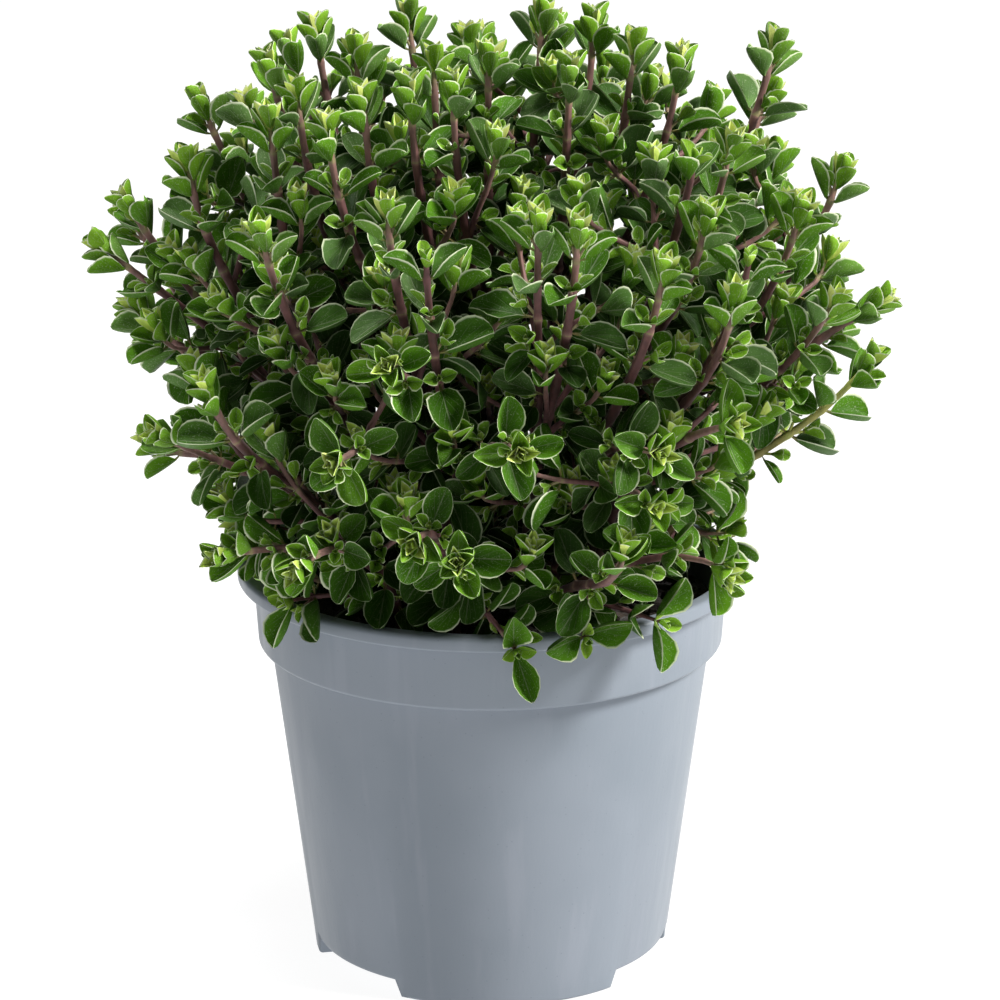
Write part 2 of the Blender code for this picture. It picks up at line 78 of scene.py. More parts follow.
soft_light("window_right", (1.30, -0.42, 1.15), 0.45, 48.0, (1.0, 0.98, 0.94))
soft_light("fill_front", (-0.15, -1.5, 0.9), 0.6, 1.6, (0.96, 0.98, 1.0))
soft_light("top", (-0.2, 0.0, 1.5), 0.45, 20.0, (1.0, 1.0, 0.98))
studio = bpy.data.worlds.new("studio")
studio.use_nodes = True
studio.node_tree.nodes["Background"].inputs["Color"].default_value = (0.96, 0.98, 1.0, 1.0)
studio.node_tree.nodes["Background"].inputs["Strength"].default_value = 0.080
bpy.context.scene.world = studio


class Finish:
    """A material that is put together node by node. Each method adds a node and returns its output."""

    def __init__(self, name, roughness, **sockets):
        self.material = bpy.data.materials.new(name)
        self.material.use_nodes = True
        self.tree = self.material.node_tree
        self.shader = self.tree.nodes["Principled BSDF"]
        self.feed(self.shader.inputs["Roughness"], roughness)
        for socket, value in sockets.items():
            self.feed(self.shader.inputs[socket.replace("_", " ")], value)

    def feed(self, socket, value):
        if isinstance(value, bpy.types.NodeSocket):
            self.tree.links.new(value, socket)
        elif socket.type == 'RGBA':
            socket.default_value = (*value, 1.0)
        else:
            socket.default_value = value

    def add(self, kind, output=0, settings=(), inputs=(), **named_inputs):
        node = self.tree.nodes.new("ShaderNode" + kind)
        for name, value in settings:
            setattr(node, name, value)
        for socket, value in (*inputs, *named_inputs.items()):
            self.feed(node.inputs[socket], value)
        return node.outputs[output]

    def place(self, stretch=(1.0, 1.0, 1.0)):
        """Places on the object, squeezed or stretched along its axes."""
        return self.add("Mapping", Vector=self.add("TexCoord", "Object"), Scale=stretch)

    def attribute(self, name):
        return self.add("Attribute", "Fac", [("attribute_name", name)])

    def noise(self, vector, scale, detail):
        return self.add("TexNoise", Vector=vector, Scale=scale, Detail=detail)

    def maths(self, operation, a, b=0.0):
        return self.add("Math", 0, [("operation", operation)], [(0, a), (1, b)])

    def times(self, a, b):
        return self.maths('MULTIPLY', a, b)

    def fade(self, value, low, high, first=0.0, last=1.0):
        """Goes smoothly from first to last, while value goes from low to high."""
        inputs = enumerate((value, low, high, first, last))
        return self.add("MapRange", 0, [("interpolation_type", 'SMOOTHSTEP')], inputs)

    def mix(self, share, a, b, blend='MIX'):
        settings = [("data_type", 'RGBA'), ("blend_type", blend)]
        return self.add("Mix", 2, settings, [(0, share), (6, a), (7, b)])

    def ramp(self, value, stops):
        node = self.tree.nodes.new("ShaderNodeValToRGB")
        self.feed(node.inputs[0], value)
        while len(node.color_ramp.elements) < len(stops):
            node.color_ramp.elements.new(1.0)
        for element, (position, colour) in zip(node.color_ramp.elements, stops):
            element.position = position
            element.color = (*colour, 1.0)
        return node.outputs[0]

    def colour(self, value):
        self.feed(self.shader.inputs["Base Color"], value)

    def relief(self, height, depth):
        """Raises the surface by up to this depth, where height is 1."""
        normal = self.add("Bump", Height=height, Distance=depth)
        self.feed(self.shader.inputs["Normal"], normal)


# Sweep: the white table and background in one sheet, wide enough to fill the picture. It glows by
# itself, so that it stays white and takes only a faint shadow.
bpy.ops.object.select_all(action='DESELECT')
bpy.ops.mesh.primitive_plane_add(size=12.0, location=(0.0, 0.0, -0.2 * MM))
sweep = bpy.context.object
sweep.name = "white_sweep"
white = Finish("sweep_white", 0.9, Emission_Color=(1.0, 1.0, 1.0), Emission_Strength=0.93)
white.colour((0.16, 0.16, 0.16))
sweep.data.materials.append(white.material)

# Pot: a thin moulded nursery pot of satin grey-blue plastic, with a stepped collar, a rolled lip,
# a drained floor and three low feet. It is pulled up ring by ring from the floor's underside.
POINTS_ROUND = 144
CORNER_STEPS = 4
POT_HEIGHT = 105.3 * MM
LIP_RADIUS = 65.0 * MM
COLLAR_TOP = 101.6 * MM
COLLAR_FOOT = 84.6 * MM
COLLAR_TOP_RADIUS = 60.9 * MM
COLLAR_FOOT_RADIUS = 59.8 * MM
BODY_TOP_RADIUS = 56.5 * MM
BODY_FOOT_RADIUS = 45.9 * MM
WALL = 1.3 * MM
FLOOR_UNDERSIDE = 4.7 * MM
FOOT_HEIGHT = 4.3 * MM
FOOT_INNER_RADIUS = 41.2 * MM
FOOT_COUNT = 3
FOOT_SPAN = math.radians(74)
FRONT_FOOT_TURN = -math.pi / 2 + math.radians(7)
DRAIN_HOLE_RADIUS = 4.5 * MM
DRAIN_HOLE_RING = 27.0 * MM
DRAIN_HOLE_COUNT = 6


def round_axis(radius, turn, height):
    """The place at this distance from the pot's axis, turn round it and height."""
    return Vector((radius * math.cos(turn), radius * math.sin(turn), height))


def round_corner(radius, height, size, first, last):
    """Points of an arc round (radius, height), from the first to the last angle in degrees."""
    share = (last - first) / CORNER_STEPS
    turns = [math.radians(first + share * i) for i in range(CORNER_STEPS + 1)]
    return [(radius + size * math.cos(t), height + size * math.sin(t)) for t in turns]


def pot_rings():
    """The pot's section, from its floor's underside, out over the foot, up and back down inside."""
    soft = 1.0 * MM
    inner_foot = BODY_FOOT_RADIUS - WALL
    floor_top = FLOOR_UNDERSIDE + WALL
    return [
        (FOOT_INNER_RADIUS, 0.3 * MM), (FOOT_INNER_RADIUS + 0.3 * MM, 0.0),
        *round_corner(BODY_FOOT_RADIUS - soft, soft, soft, -90, 0),
        (BODY_FOOT_RADIUS + 0.7 * MM, 7.0 * MM),
        (BODY_TOP_RADIUS - 0.1 * MM, COLLAR_FOOT - 2.0 * MM),
        *round_corner(BODY_TOP_RADIUS + 0.8 * MM, COLLAR_FOOT - 0.8 * MM, 0.8 * MM, 180, 90),
        *round_corner(COLLAR_FOOT_RADIUS - soft, COLLAR_FOOT + soft, soft, -90, 0),
        (COLLAR_TOP_RADIUS - 0.1 * MM, COLLAR_TOP - 1.2 * MM),
        *round_corner(COLLAR_TOP_RADIUS + 0.6 * MM, COLLAR_TOP - 0.6 * MM, 0.6 * MM, 180, 90),
        *round_corner(LIP_RADIUS - 0.6 * MM, COLLAR_TOP + 0.6 * MM, 0.6 * MM, -90, 0),
        *round_corner(LIP_RADIUS - 1.3 * MM, POT_HEIGHT - 1.3 * MM, 1.3 * MM, 0, 90),
        *round_corner(LIP_RADIUS - 3.4 * MM, POT_HEIGHT - 1.0 * MM, 1.0 * MM, 90, 160),
        (COLLAR_TOP_RADIUS - WALL, POT_HEIGHT - 3.6 * MM),
        (COLLAR_FOOT_RADIUS - WALL, COLLAR_FOOT + 2.0 * WALL),
        (BODY_TOP_RADIUS - WALL, COLLAR_FOOT + WALL),
        (inner_foot + 0.6 * MM, floor_top + 1.5 * MM),
        (inner_foot - 0.4 * MM, floor_top + 0.3 * MM), (inner_foot - 1.5 * MM, floor_top),
    ]


def hold(piece, *others):
    """Selects only these pieces, with the first one active."""
    bpy.ops.object.select_all(action='DESELECT')
    for other in (piece, *others):
        other.select_set(True)
    bpy.context.view_layer.objects.active = piece


def join_into(piece, others):
    hold(piece, *others)
    bpy.ops.object.join()


def start_disc(name, radius, height):
    """A round disc in edit mode, which is the first cap of a turned piece."""
    bpy.ops.object.select_all(action='DESELECT')
    bpy.ops.mesh.primitive_circle_add(
        vertices=POINTS_ROUND, radius=radius, fill_type='NGON', location=(0.0, 0.0, height),
    )
    bpy.ops.object.transform_apply(location=True)
    bpy.context.object.name = name
    bpy.ops.object.mode_set(mode='EDIT')
    bpy.ops.mesh.select_mode(type='VERT')
    bpy.ops.mesh.select_all(action='SELECT')
    return bpy.context.object


def pull_cap(radius, height):
    """Extrudes the selected cap of a turned piece to its next radius and height."""
    form = bmesh.from_edit_mesh(bpy.context.object.data)
    corner = next(point.co for point in form.verts if point.select)
    rise = height - corner.z
    grow = radius / corner.xy.length
    bpy.ops.mesh.extrude_region_move(TRANSFORM_OT_translate={"value": (0.0, 0.0, rise)})
    bpy.ops.transform.resize(value=(grow, grow, 1.0), center_override=(0.0, 0.0, height))


def pick(test):
    """Selects only the points, of the mesh in edit mode, whose place passes the test."""
    bpy.ops.mesh.select_all(action='DESELECT')
    form = bmesh.from_edit_mesh(bpy.context.object.data)
    for point in form.verts:
        point.select = test(point.co)
    form.select_flush(True)
    bmesh.update_edit_mesh(bpy.context.object.data)


def in_foot_gap(place):
    """Whether a place on the foot ring is in one of the gaps between the feet."""
    turn = (math.atan2(place.y, place.x) - FRONT_FOOT_TURN) % (math.tau / FOOT_COUNT)
    return FOOT_SPAN / 2 < turn < math.tau / FOOT_COUNT - FOOT_SPAN / 2


def finish_modelling(angle=35.0):
    """Turns the faces outwards, leaves edit mode and shades the round faces smooth."""
    bpy.ops.mesh.select_all(action='SELECT')
    bpy.ops.mesh.normals_make_consistent(inside=False)
    bpy.ops.object.mode_set(mode='OBJECT')
    bpy.ops.object.shade_smooth_by_angle(angle=math.radians(angle))


pot = start_disc("nursery_pot", FOOT_INNER_RADIUS - 0.3 * MM, FLOOR_UNDERSIDE)
for radius, height in pot_rings():
    pull_cap(radius, height)
pick(lambda place: place.z < 0.9 * FOOT_HEIGHT and in_foot_gap(place))
bpy.ops.transform.translate(value=(0.0, 0.0, FOOT_HEIGHT))
finish_modelling()

drills = []
for i in range(DRAIN_HOLE_COUNT):
    turn = (i + 0.25) * math.tau / DRAIN_HOLE_COUNT
    bpy.ops.mesh.primitive_cylinder_add(
        vertices=24, radius=DRAIN_HOLE_RADIUS, depth=6.0 * WALL,
        location=round_axis(DRAIN_HOLE_RING, turn, FLOOR_UNDERSIDE),
    )
    drills.append(bpy.context.object)
join_into(drills[-1], drills[:-1])
hold(pot)
drain = pot.modifiers.new("drain_holes", 'BOOLEAN')
drain.object = drills[-1]
bpy.ops.object.modifier_apply(modifier=drain.name)
bpy.data.objects.remove(drills[-1])

plastic = Finish("satin_pot_plastic", 0.4, Specular_IOR_Level=0.3)
flow = plastic.noise(plastic.place((1.0, 1.0, 0.05)), 150.0, 4.0)
cloud = plastic.noise(plastic.place(), 22.0, 3.0)
speck = plastic.add("TexVoronoi", Vector=plastic.place(), Scale=420.0)
tone = plastic.mix(plastic.fade(cloud, 0.35, 0.65), (0.214, 0.248, 0.292), (0.239, 0.272, 0.319))
tone = plastic.mix(plastic.fade(flow, 0.52, 0.72, 0.0, 0.35), tone, (0.295, 0.321, 0.377))
tone = plastic.mix(plastic.fade(speck, 0.10, 0.05, 0.0, 0.5), tone, (0.16, 0.18, 0.21))
plastic.colour(tone)
plastic.feed(plastic.shader.inputs["Roughness"], plastic.fade(flow, 0.3, 0.7, 0.33, 0.47))
plastic.relief(plastic.noise(plastic.place((1.0, 1.0, 0.4)), 900.0, 3.0), 0.03 * MM)
pot.data.materials.append(plastic.material)
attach(pot, "root")
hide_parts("pot")

# Peat: dark moist growing mix that fills the pot to about 10 mm under the lip, crumbly on top. It
# is pulled up like the pot, roughened with two displacements, and strewn with crumbs.
SOIL_EDGE_HEIGHT = 93.0 * MM
SOIL_CROWN_HEIGHT = 96.0 * MM
SOIL_RINGS = 46
FIT_GAP = 0.35 * MM
CRUMB_COUNT = 620
FLECK_COUNT = 46
inside = WALL + FIT_GAP
soil_edge = COLLAR_FOOT_RADIUS - inside


def soil_height(radius):
    """The top of the peat: nearly level, and sinking towards the wall."""
    return SOIL_CROWN_HEIGHT - (SOIL_CROWN_HEIGHT - SOIL_EDGE_HEIGHT) * (radius / soil_edge) ** 6


soil = start_disc("peat", BODY_FOOT_RADIUS - inside - 0.6 * MM, FLOOR_UNDERSIDE + inside)
pull_cap(BODY_FOOT_RADIUS - inside, FLOOR_UNDERSIDE + inside + 1.0 * MM)
pull_cap(BODY_TOP_RADIUS - inside, COLLAR_FOOT + inside)
pull_cap(soil_edge, COLLAR_FOOT + 2.0 * WALL + FIT_GAP)
for ring in range(SOIL_RINGS):
    radius = soil_edge * (1.0 - ring / SOIL_RINGS)
    pull_cap(radius, soil_height(radius))
bpy.ops.object.vertex_group_add()
pick(lambda place: place.z > SOIL_EDGE_HEIGHT - 1.0 * MM and place.xy.length < soil_edge - 1.0 * MM)
bpy.ops.object.vertex_group_assign()
finish_modelling(80.0)
for kind, size, lift in (('CLOUDS', 9.0 * MM, 2.6 * MM), ('VORONOI', 2.6 * MM, 1.5 * MM)):
    texture = bpy.data.textures.new("lumps", kind)
    texture.noise_scale = size
    lumps = soil.modifiers.new("lumps", 'DISPLACE')
    lumps.texture = texture
    lumps.texture_coords = 'LOCAL'
    lumps.direction = 'Z'
    lumps.strength = lift
    lumps.vertex_group = soil.vertex_groups[0].name
    bpy.ops.object.modifier_apply(modifier=lumps.name)

peat = Finish("moist_peat", 0.92, Sheen_Weight=0.15)
grain = peat.noise(peat.place(), 900.0, 5.0)
patch = peat.noise(peat.place(), 130.0, 3.0)
tone = peat.ramp(patch, [(0.35, (0.010, 0.007, 0.006)), (0.55, (0.022, 0.015, 0.011)),
                         (0.72, (0.045, 0.028, 0.018))])
peat.colour(peat.mix(peat.fade(grain, 0.58, 0.75, 0.0, 0.6), tone, (0.10, 0.065, 0.040)))
peat.relief(grain, 0.5 * MM)
fleck_pale = Finish("pale_fleck", 0.85)
chalk = fleck_pale.noise(fleck_pale.place(), 1500.0, 3.0)
fleck_pale.colour(fleck_pale.mix(chalk, (0.30, 0.24, 0.16), (0.62, 0.58, 0.50)))
fleck_pale.relief(chalk, 0.2 * MM)

bpy.ops.object.select_all(action='DESELECT')
bpy.ops.mesh.primitive_cube_add(size=1.0)
crumb = bpy.context.object
bpy.ops.object.mode_set(mode='EDIT')
bpy.ops.mesh.subdivide(number_cuts=1)
bpy.ops.transform.tosphere(value=0.8)
bpy.ops.transform.vertex_random(offset=0.16, seed=5)
bpy.ops.object.mode_set(mode='OBJECT')
for piece in (soil, crumb):
    for finish in (peat, fleck_pale):
        piece.data.materials.append(finish.material)


def lay_copy(pattern, place, name):
    """Another of the same piece, with its own mesh, moved to its place."""
    mesh = pattern.data.copy()
    mesh.transform(place)
    copy = bpy.data.objects.new(name, mesh)
    bpy.context.scene.collection.objects.link(copy)
    return copy


rng = random.Random(11)
crumbs = []
for i in range(CRUMB_COUNT + FLECK_COUNT):
    pale = i >= CRUMB_COUNT
    radius = (soil_edge - 2.0 * MM) * math.sqrt(rng.random())
    turn = rng.uniform(0.0, math.tau)
    size = (rng.uniform(0.5, 1.3) if pale else rng.uniform(0.8, 3.0)) * MM
    sides = [size * rng.uniform(0.6, 1.2) for _ in range(3)]
    place = Matrix.Translation(round_axis(radius, turn, soil_height(radius) + 0.3 * size))
    spin = Matrix.Rotation(rng.uniform(0.0, math.pi), 4, Vector((rng.random(), rng.random(), 1.0)))
    crumbs.append(lay_copy(crumb, place @ spin @ Matrix.Diagonal((*sides, 1.0)), "crumb"))
    for face in crumbs[-1].data.polygons:
        face.material_index = int(pale)
join_into(soil, crumbs)
bpy.data.objects.remove(crumb)
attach(soil, "root")
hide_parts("soil")

# Planting plan: where each shoot's tip is, as the bush is seen from the front and slightly above.
# A row is one rooted stem and its side shoots, and a shoot is (millimetres right of the plan's
# centre, millimetres above it, lean) and its habit, where that isn't BUD. Lean is 1 for a shoot
# that points out of the dome.
DOME_CENTRE = Vector((0.0, -1.2 * MM, 157.0 * MM))
DOME_RADIUS = 96.5 * MM
DOME_RISE = 90.0 * MM
DOME_SQUARENESS = 2.4
# A pair of leaves is (millimetres below the tip, degrees out from the stem, share of full size).
GROWN_PAIRS = ((17.0, 66, 0.94), (28.0, 76, 1.0))
BUD = ((0.8, 36, 0.58), (7.0, 54, 0.80)) + GROWN_PAIRS
ROSETTE = ((0.8, 46, 0.56), (3.0, 76, 0.82)) + GROWN_PAIRS
CUT = ((6.0, 58, 0.80),) + GROWN_PAIRS
FRONT_PLANTS = (
    ((-47, 122, 0.3), (-37, 118, 0.2)),
    ((-59, 112, 0.4), (-52, 104, 0.2)),
    ((-80, 85, 0.2), (-59, 96, 0.2)),
    ((-35, 103, 0.2), (-44, 94, 0.2)),
    ((-17, 115, 0.2), (-23, 106, 0.2)),
    ((-3, 117, 0.2), (-12, 108, 0.1)),
    ((-95, 75, 0.5), (-101, 64, 0.7)),
    ((-61, 67, 0.3), (-42, 10, 0.9, ROSETTE)),
    ((-75, 28, 0.3), (-86, 16, 0.6)),
    ((-29, 73, 0.3), (-28, 34, 0.9, ROSETTE)),
    ((-19, 62, 0.2, CUT), (5, 12, 0.9, ROSETTE)),
    ((24, 125, 0.2), (18, 113, 0.2)),
    ((34, 119, 0.2), (46, 114, 0.2)),
    ((70, 117, 0.3), (59, 90, 0.3)),
    ((87, 83, 0.3), (77, 73, 0.3)),
    ((50, 88, 0.3, CUT), (53, 71, 0.3)),
    ((20, 68, 0.2), (10, 70, 0.3)),
    ((42, 58, 0.3), (40, 12, 0.9, ROSETTE)),
    ((64, 62, 0.2, CUT), (60, 51, 0.2)),
    ((96, 50, 0.7), (85, 50, 0.4)),
    ((94, 35, 0.4),),
    ((59, 19, 0.8, ROSETTE), (39, -1, 0.9, ROSETTE)),
    ((-22, -11, 0.8), (-11, -16, 0.6)),
    ((32, -13, 0.3), (57, -18, 0.9, ROSETTE)),
    ((-51, -17, 0.9), (-70, -14, 0.7)),
)
# The crown and the back: each stem's turn round the pot in degrees (0 is right, 90 is the back),
# and its shoots' millimetres above the dome's widest level.
BACK_PLANTS = (
    (62, (88, 74)),
    (128, (87, 72)),
    (24, (62, 36)),
    (93, (64, 38)),
    (158, (60, 34)),
    (50, (40, 4)),
    (122, (42, 6)),
    (20, (4, -32)),
    (90, (8, -30)),
    (146, (2, -30)),
)
BACK_LEAN = 0.5
BACK_SWING = 13


def dome_level(point):
    """1 on the dome's surface, less inside it."""
    offset = point - DOME_CENTRE
    across = math.hypot(offset.x, offset.y) / DOME_RADIUS
    return across ** DOME_SQUARENESS + abs(offset.z / DOME_RISE) ** DOME_SQUARENESS


def dome_slope(point):
    """The direction that points straight out of the dome at this point."""
    offset = point - DOME_CENTRE
    out = (offset.x / DOME_RADIUS ** 2, offset.y / DOME_RADIUS ** 2, offset.z / DOME_RISE ** 2)
    return Vector(out).normalized()


def plan_mark(across, up):
    """The place in the plan itself, this many millimetres right of its centre and above it."""
    return PLAN_CENTRE + Vector((across * MM, 0.0, 0.0)) + UPWARD * (up * MM)


def tip_from_plan(across, up):
    """Where the line of sight through a place in the plan first meets the dome."""
    sight = (plan_mark(across, up) - EYE).normalized()
    steps = [EYE + sight * (EYE_DISTANCE + i * MM) for i in range(-125, 60)]
    return next((p for p in steps if dome_level(p) <= 1.0), min(steps, key=dome_level))


def in_plan(place):
    """Where the picture shows a place: metres right of the plan's centre and above it."""
    sight = place - EYE
    nearness = EYE_DISTANCE / sight.dot(AHEAD)
    return sight.x * nearness, sight.dot(UPWARD) * nearness


def tip_from_turn(turn, height):
    """The place on the dome at this turn round the pot and height above the widest level."""
    reach = DOME_RADIUS * (1 - abs(height / DOME_RISE) ** DOME_SQUARENESS) ** (1 / DOME_SQUARENESS)
    return DOME_CENTRE + round_axis(reach, math.radians(turn), height)


def planting():
    """Every rooted stem as a list of shoots, and every shoot as (tip place, lean, habit)."""
    plants = [
        [(tip_from_plan(across, up), lean, *(habit or [BUD])) for across, up, lean, *habit in row]
        for row in FRONT_PLANTS
    ]
    for turn, heights in BACK_PLANTS:
        tips = [
            tip_from_turn(turn + side * BACK_SWING, height * MM)
            for side, height in enumerate(heights)
        ]
        plants.append([(tip, BACK_LEAN, BUD) for tip in tips])
    return plants


# Stems: square, woody and brown at the foot, purple higher up and green at the tips. Each rooted
# stem stands in the peat and forks once, and its line keeps clear of the stems planted before it.
ROOT_DEPTH = 11.0 * MM
ROOT_RISE = 4.0 * MM
ROOT_FIELD_RADIUS = 49.0 * MM
STEM_ROOT_RADIUS = 1.2 * MM
BARE_STEM_RADIUS = 0.95 * MM
SHOOT_RADIUS = 1.05 * MM
BARE_LOW = -12.0 * MM
BARE_HIGH = 30.0 * MM
BARE_SIDE = 60.0 * MM
BARE_MARGIN = 7.0 * MM
STEM_TIP_SHARE = 0.55
STEM_TAPER = 18.0 * MM
NODE_REACH = 1.3 * MM
NODE_SWELLING = 0.28
LONGEST_BUD_GAP = 2.0 * MM
STEM_RUNS = 4
SHOOT_RUNS = 3
SMOOTH_RUNS = 18
STEM_CLEARANCE = 3.2 * MM
SHOOT_START = 0.42
CROWN_START = 232.0 * MM
CROWN_DROP = 0.35


def bezier(a, b, c, d, t):
    s = 1 - t
    return a * s ** 3 + b * (3 * s * s * t) + c * (3 * s * t * t) + d * t ** 3


def bend(start, first_way, tip, last_way, runs):
    """Points along one smooth bend that leaves start in first_way and ends in last_way."""
    reach = (tip - start).length
    lift = start + (first_way * 0.33 + (tip - start).normalized() * 0.08) * reach
    lead = tip - last_way * 0.36 * reach
    return [bezier(start, lift, lead, tip, i / runs) for i in range(runs + 1)]


def end_way(tip, lean):
    return Vector((0.0, 0.0, 1.0)).lerp(dome_slope(tip), lean).normalized()


def flatten(tip):
    """The highest tips, lowered a little, so that the picture shows their buds whole."""
    over = max(0.0, tip.z - CROWN_START)
    return Vector((tip.x, tip.y, tip.z - CROWN_DROP * over))


def stem_line(root, tip, lean, runs=STEM_RUNS):
    up = Vector((0.0, 0.0, 1.0))
    above = bend(root + up * ROOT_RISE, up, tip, end_way(tip, lean), runs)
    return [root - up * ROOT_DEPTH] + above


def place_along(line, share):
    """The place and direction at this share of a line's runs."""
    run = share * (len(line) - 1)
    low = min(int(run), len(line) - 2)
    return line[low].lerp(line[low + 1], run - low), (line[low + 1] - line[low]).normalized()


def place_below_tip(line, distance):
    """The place and direction on a line at this distance below its tip."""
    left = distance
    for upper, lower in zip(reversed(line[1:]), reversed(line[:-1])):
        length = (upper - lower).length
        if left <= length:
            return upper.lerp(lower, left / length), (upper - lower).normalized()
        left -= length
    return line[0], (line[1] - line[0]).normalized()


def line_samples(line, gap=2.0 * MM):
    samples = []
    for a, b in zip(line, line[1:]):
        count = max(1, int((b - a).length / gap))
        samples += [a.lerp(b, i / count) for i in range(count)]
    return samples + [line[-1]]


class Thicket:
    """The lines of the stems placed so far, and how much room a new line has among them."""

    def __init__(self):
        self.samples = []
        self.tree = None

    def add(self, lines):
        for line in lines:
            self.samples += line_samples(line)
        self.tree = KDTree(len(self.samples))
        for i, point in enumerate(self.samples):
            self.tree.insert(point, i)
        self.tree.balance()

    def room(self, line):
        if self.tree is None:
            return STEM_CLEARANCE
        return min(self.tree.find(point)[2] for point in line_samples(line))

    def roomiest(self, lines):
        """The first line that is clear of the others, or else the one with most room."""
        best, best_room = None, -1.0
        for line in lines:
            room = self.room(line)
            if room > best_room:
                best, best_room = line, room
            if room >= STEM_CLEARANCE:
                break
        return best


def root_choices(tip, lean):
    """Lines from places in the peat under a tip: the nearest first, then further round."""
    outward = Vector((tip.x, tip.y, 0.0))
    steepness = math.atan2(outward.length, tip.z - SOIL_CROWN_HEIGHT)
    radius = ROOT_FIELD_RADIUS * math.sin(steepness) ** 0.85
    for share in (1.0, 0.9, 1.05, 0.8, 0.7):
        for turn in (0, 5, -5, 10, -10, 16, -16, 24, -24, 34, -34, 46, -46):
            spot = Matrix.Rotation(math.radians(turn), 3, 'Z') @ outward.normalized()
            root = spot * min(radius * share, ROOT_FIELD_RADIUS)
            root.z = SOIL_CROWN_HEIGHT
            yield stem_line(root, tip, lean)


def stem_lines(plant, thicket):
    """The rooted stem's line, then one line for each side shoot."""
    tip, lean, _ = plant[0]
    stem = thicket.roomiest(root_choices(tip, lean))
    lines = [stem]
    for tip, lean, _ in plant[1:]:
        choices = []
        for shift in (0.0, 0.06, -0.06, 0.12, -0.12, 0.2):
            start, way = place_along(stem, SHOOT_START + shift)
            choices.append(bend(start, way, tip, end_way(tip, lean), SHOOT_RUNS))
        lines.append(thicket.roomiest(choices))
    thicket.add(lines)
    return lines


def smooth_lines(plant, lines):
    """The same stem and side shoots, with enough points to look smooth."""
    plant = [(flatten(tip), lean, habit) for tip, lean, habit in plant]
    tip, lean, _ = plant[0]
    root = lines[0][0] + Vector((0.0, 0.0, ROOT_DEPTH))
    stem = stem_line(root, tip, lean, SMOOTH_RUNS)
    smooth = [stem]
    for (tip, lean, _), line in zip(plant[1:], lines[1:]):
        fork = min(range(1, len(stem)), key=lambda i: (stem[i] - line[0]).length)
        way = (stem[fork] - stem[fork - 1]).normalized()
        smooth.append(bend(stem[fork], way, tip, end_way(tip, lean), SMOOTH_RUNS))
    return smooth


class Shoot:
    """One shoot: the plant that carries it, its line, its pairs of leaves and its own draws."""

    def __init__(self, plant, line, foot_radius, pairs, rough_line=None):
        self.number = len(shoots)
        self.plant = plant
        self.line = line
        self.length = sum((b - a).length for a, b in zip(line, line[1:]))
        self.foot_radius = foot_radius
        self.pairs = [(below * MM, angle, share) for below, angle, share in pairs]
        self.cut = self.pairs[0][0] > LONGEST_BUD_GAP
        self.sides = self.wished_sides(rough_line or line)
        self.nodes = []
        self.lowest = 0
        self.rng = random.Random(1000 + self.number)

    def wished_sides(self, line):
        """The sides, angle jitters and sizes that the pairs have, the first ones as in the solids."""
        rng = random.Random(self.number)
        start = rng.uniform(0, math.tau)
        levels = []
        for level, (below, _, _) in enumerate(self.pairs):
            _, way = place_below_tip(line, below)
            pair = []
            for side in (0, 1):
                turn = start + level * math.pi / 2 + side * math.pi + rng.uniform(-0.25, 0.25)
                side = (Matrix.Rotation(turn, 3, way) @ way.orthogonal()).normalized()
                pair.append((side, rng.uniform(-6, 6), rng.uniform(0.92, 1.06)))
            levels.append(pair)
        return levels

    def thickness(self, below):
        """Half the stem's width at this distance below the tip, with a swelling at each node."""
        share = STEM_TIP_SHARE + (1.0 - STEM_TIP_SHARE) * (1.0 - math.exp(-below / STEM_TAPER))
        plain = self.foot_radius * share
        if not self.cut:
            plain *= min(1.0, 0.6 + below / (9.0 * MM))
        swelling = sum(math.exp(-((below - node) / NODE_REACH) ** 2) for node in self.nodes)
        return plain * (1.0 + NODE_SWELLING * min(1.0, swelling))


plants = planting()
# The branch that leans out at the right is nearly bare, and the background shows beside it. It is
# the only rooted stem without a side shoot.
bare_owner = [len(row) for row in FRONT_PLANTS].index(1)
thicket = Thicket()
rough_lines = [stem_lines(plant, thicket) for plant in plants]
shoots = []
for owner, (plant, rough) in enumerate(zip(plants, rough_lines)):
    for i, (line, rough_line) in enumerate(zip(smooth_lines(plant, rough), rough)):
        foot = SHOOT_RADIUS if i else STEM_ROOT_RADIUS
        if owner == bare_owner:
            foot = BARE_STEM_RADIUS
        habit = plant[i][2]
        shoots.append(Shoot(owner, line, foot, habit[:3] if i else habit, rough_line))
main_shoots = list(shoots)
bare_places = [
    place for shoot in main_shoots if shoot.plant == bare_owner for place in line_samples(shoot.line)
]
bare_marks = [in_plan(place) for place in bare_places]


def beside_bare_branch(place):
    """Whether the picture shows a place on the bare branch or in the open space right of it."""
    across, up = in_plan(place)
    if not BARE_LOW < up < BARE_HIGH:
        return False
    branch = min(bare_marks, key=lambda mark: abs(mark[1] - up))
    return across > max(BARE_SIDE, branch[0] - BARE_MARGIN)


# Sprigs: the shorter side branches that fill the bush behind the tips of the main shoots. Their
# tips are spread evenly over smaller domes inside the bush's own, and each leaves a stem close by.
# A few more hang over the pot's rim, where the photo shows them.
# A layer is (tips tried, smallest and largest share of the dome's size).
SPRIG_LAYERS = ((240, 0.87, 0.95), (150, 0.72, 0.82), (110, 0.5, 0.66))
FRONT_RECESS = 0.13
CROWN_RECESS = 0.05
BARE_BRANCH_ROOM = 15.0 * MM
SPRIG_RADIUS = 0.75 * MM
SPRIG_CLEARANCE = 1.9 * MM
SPRIG_RUNS = 8
SHORTEST_SPRIG = 15.0 * MM
USUAL_SPRIG = 30.0 * MM
LONGEST_SPRIG = 48.0 * MM
STEMS_TRIED = 14
TIP_SPACING = 16.0 * MM
GOLDEN_TURN = math.pi * (3.0 - math.sqrt(5.0))
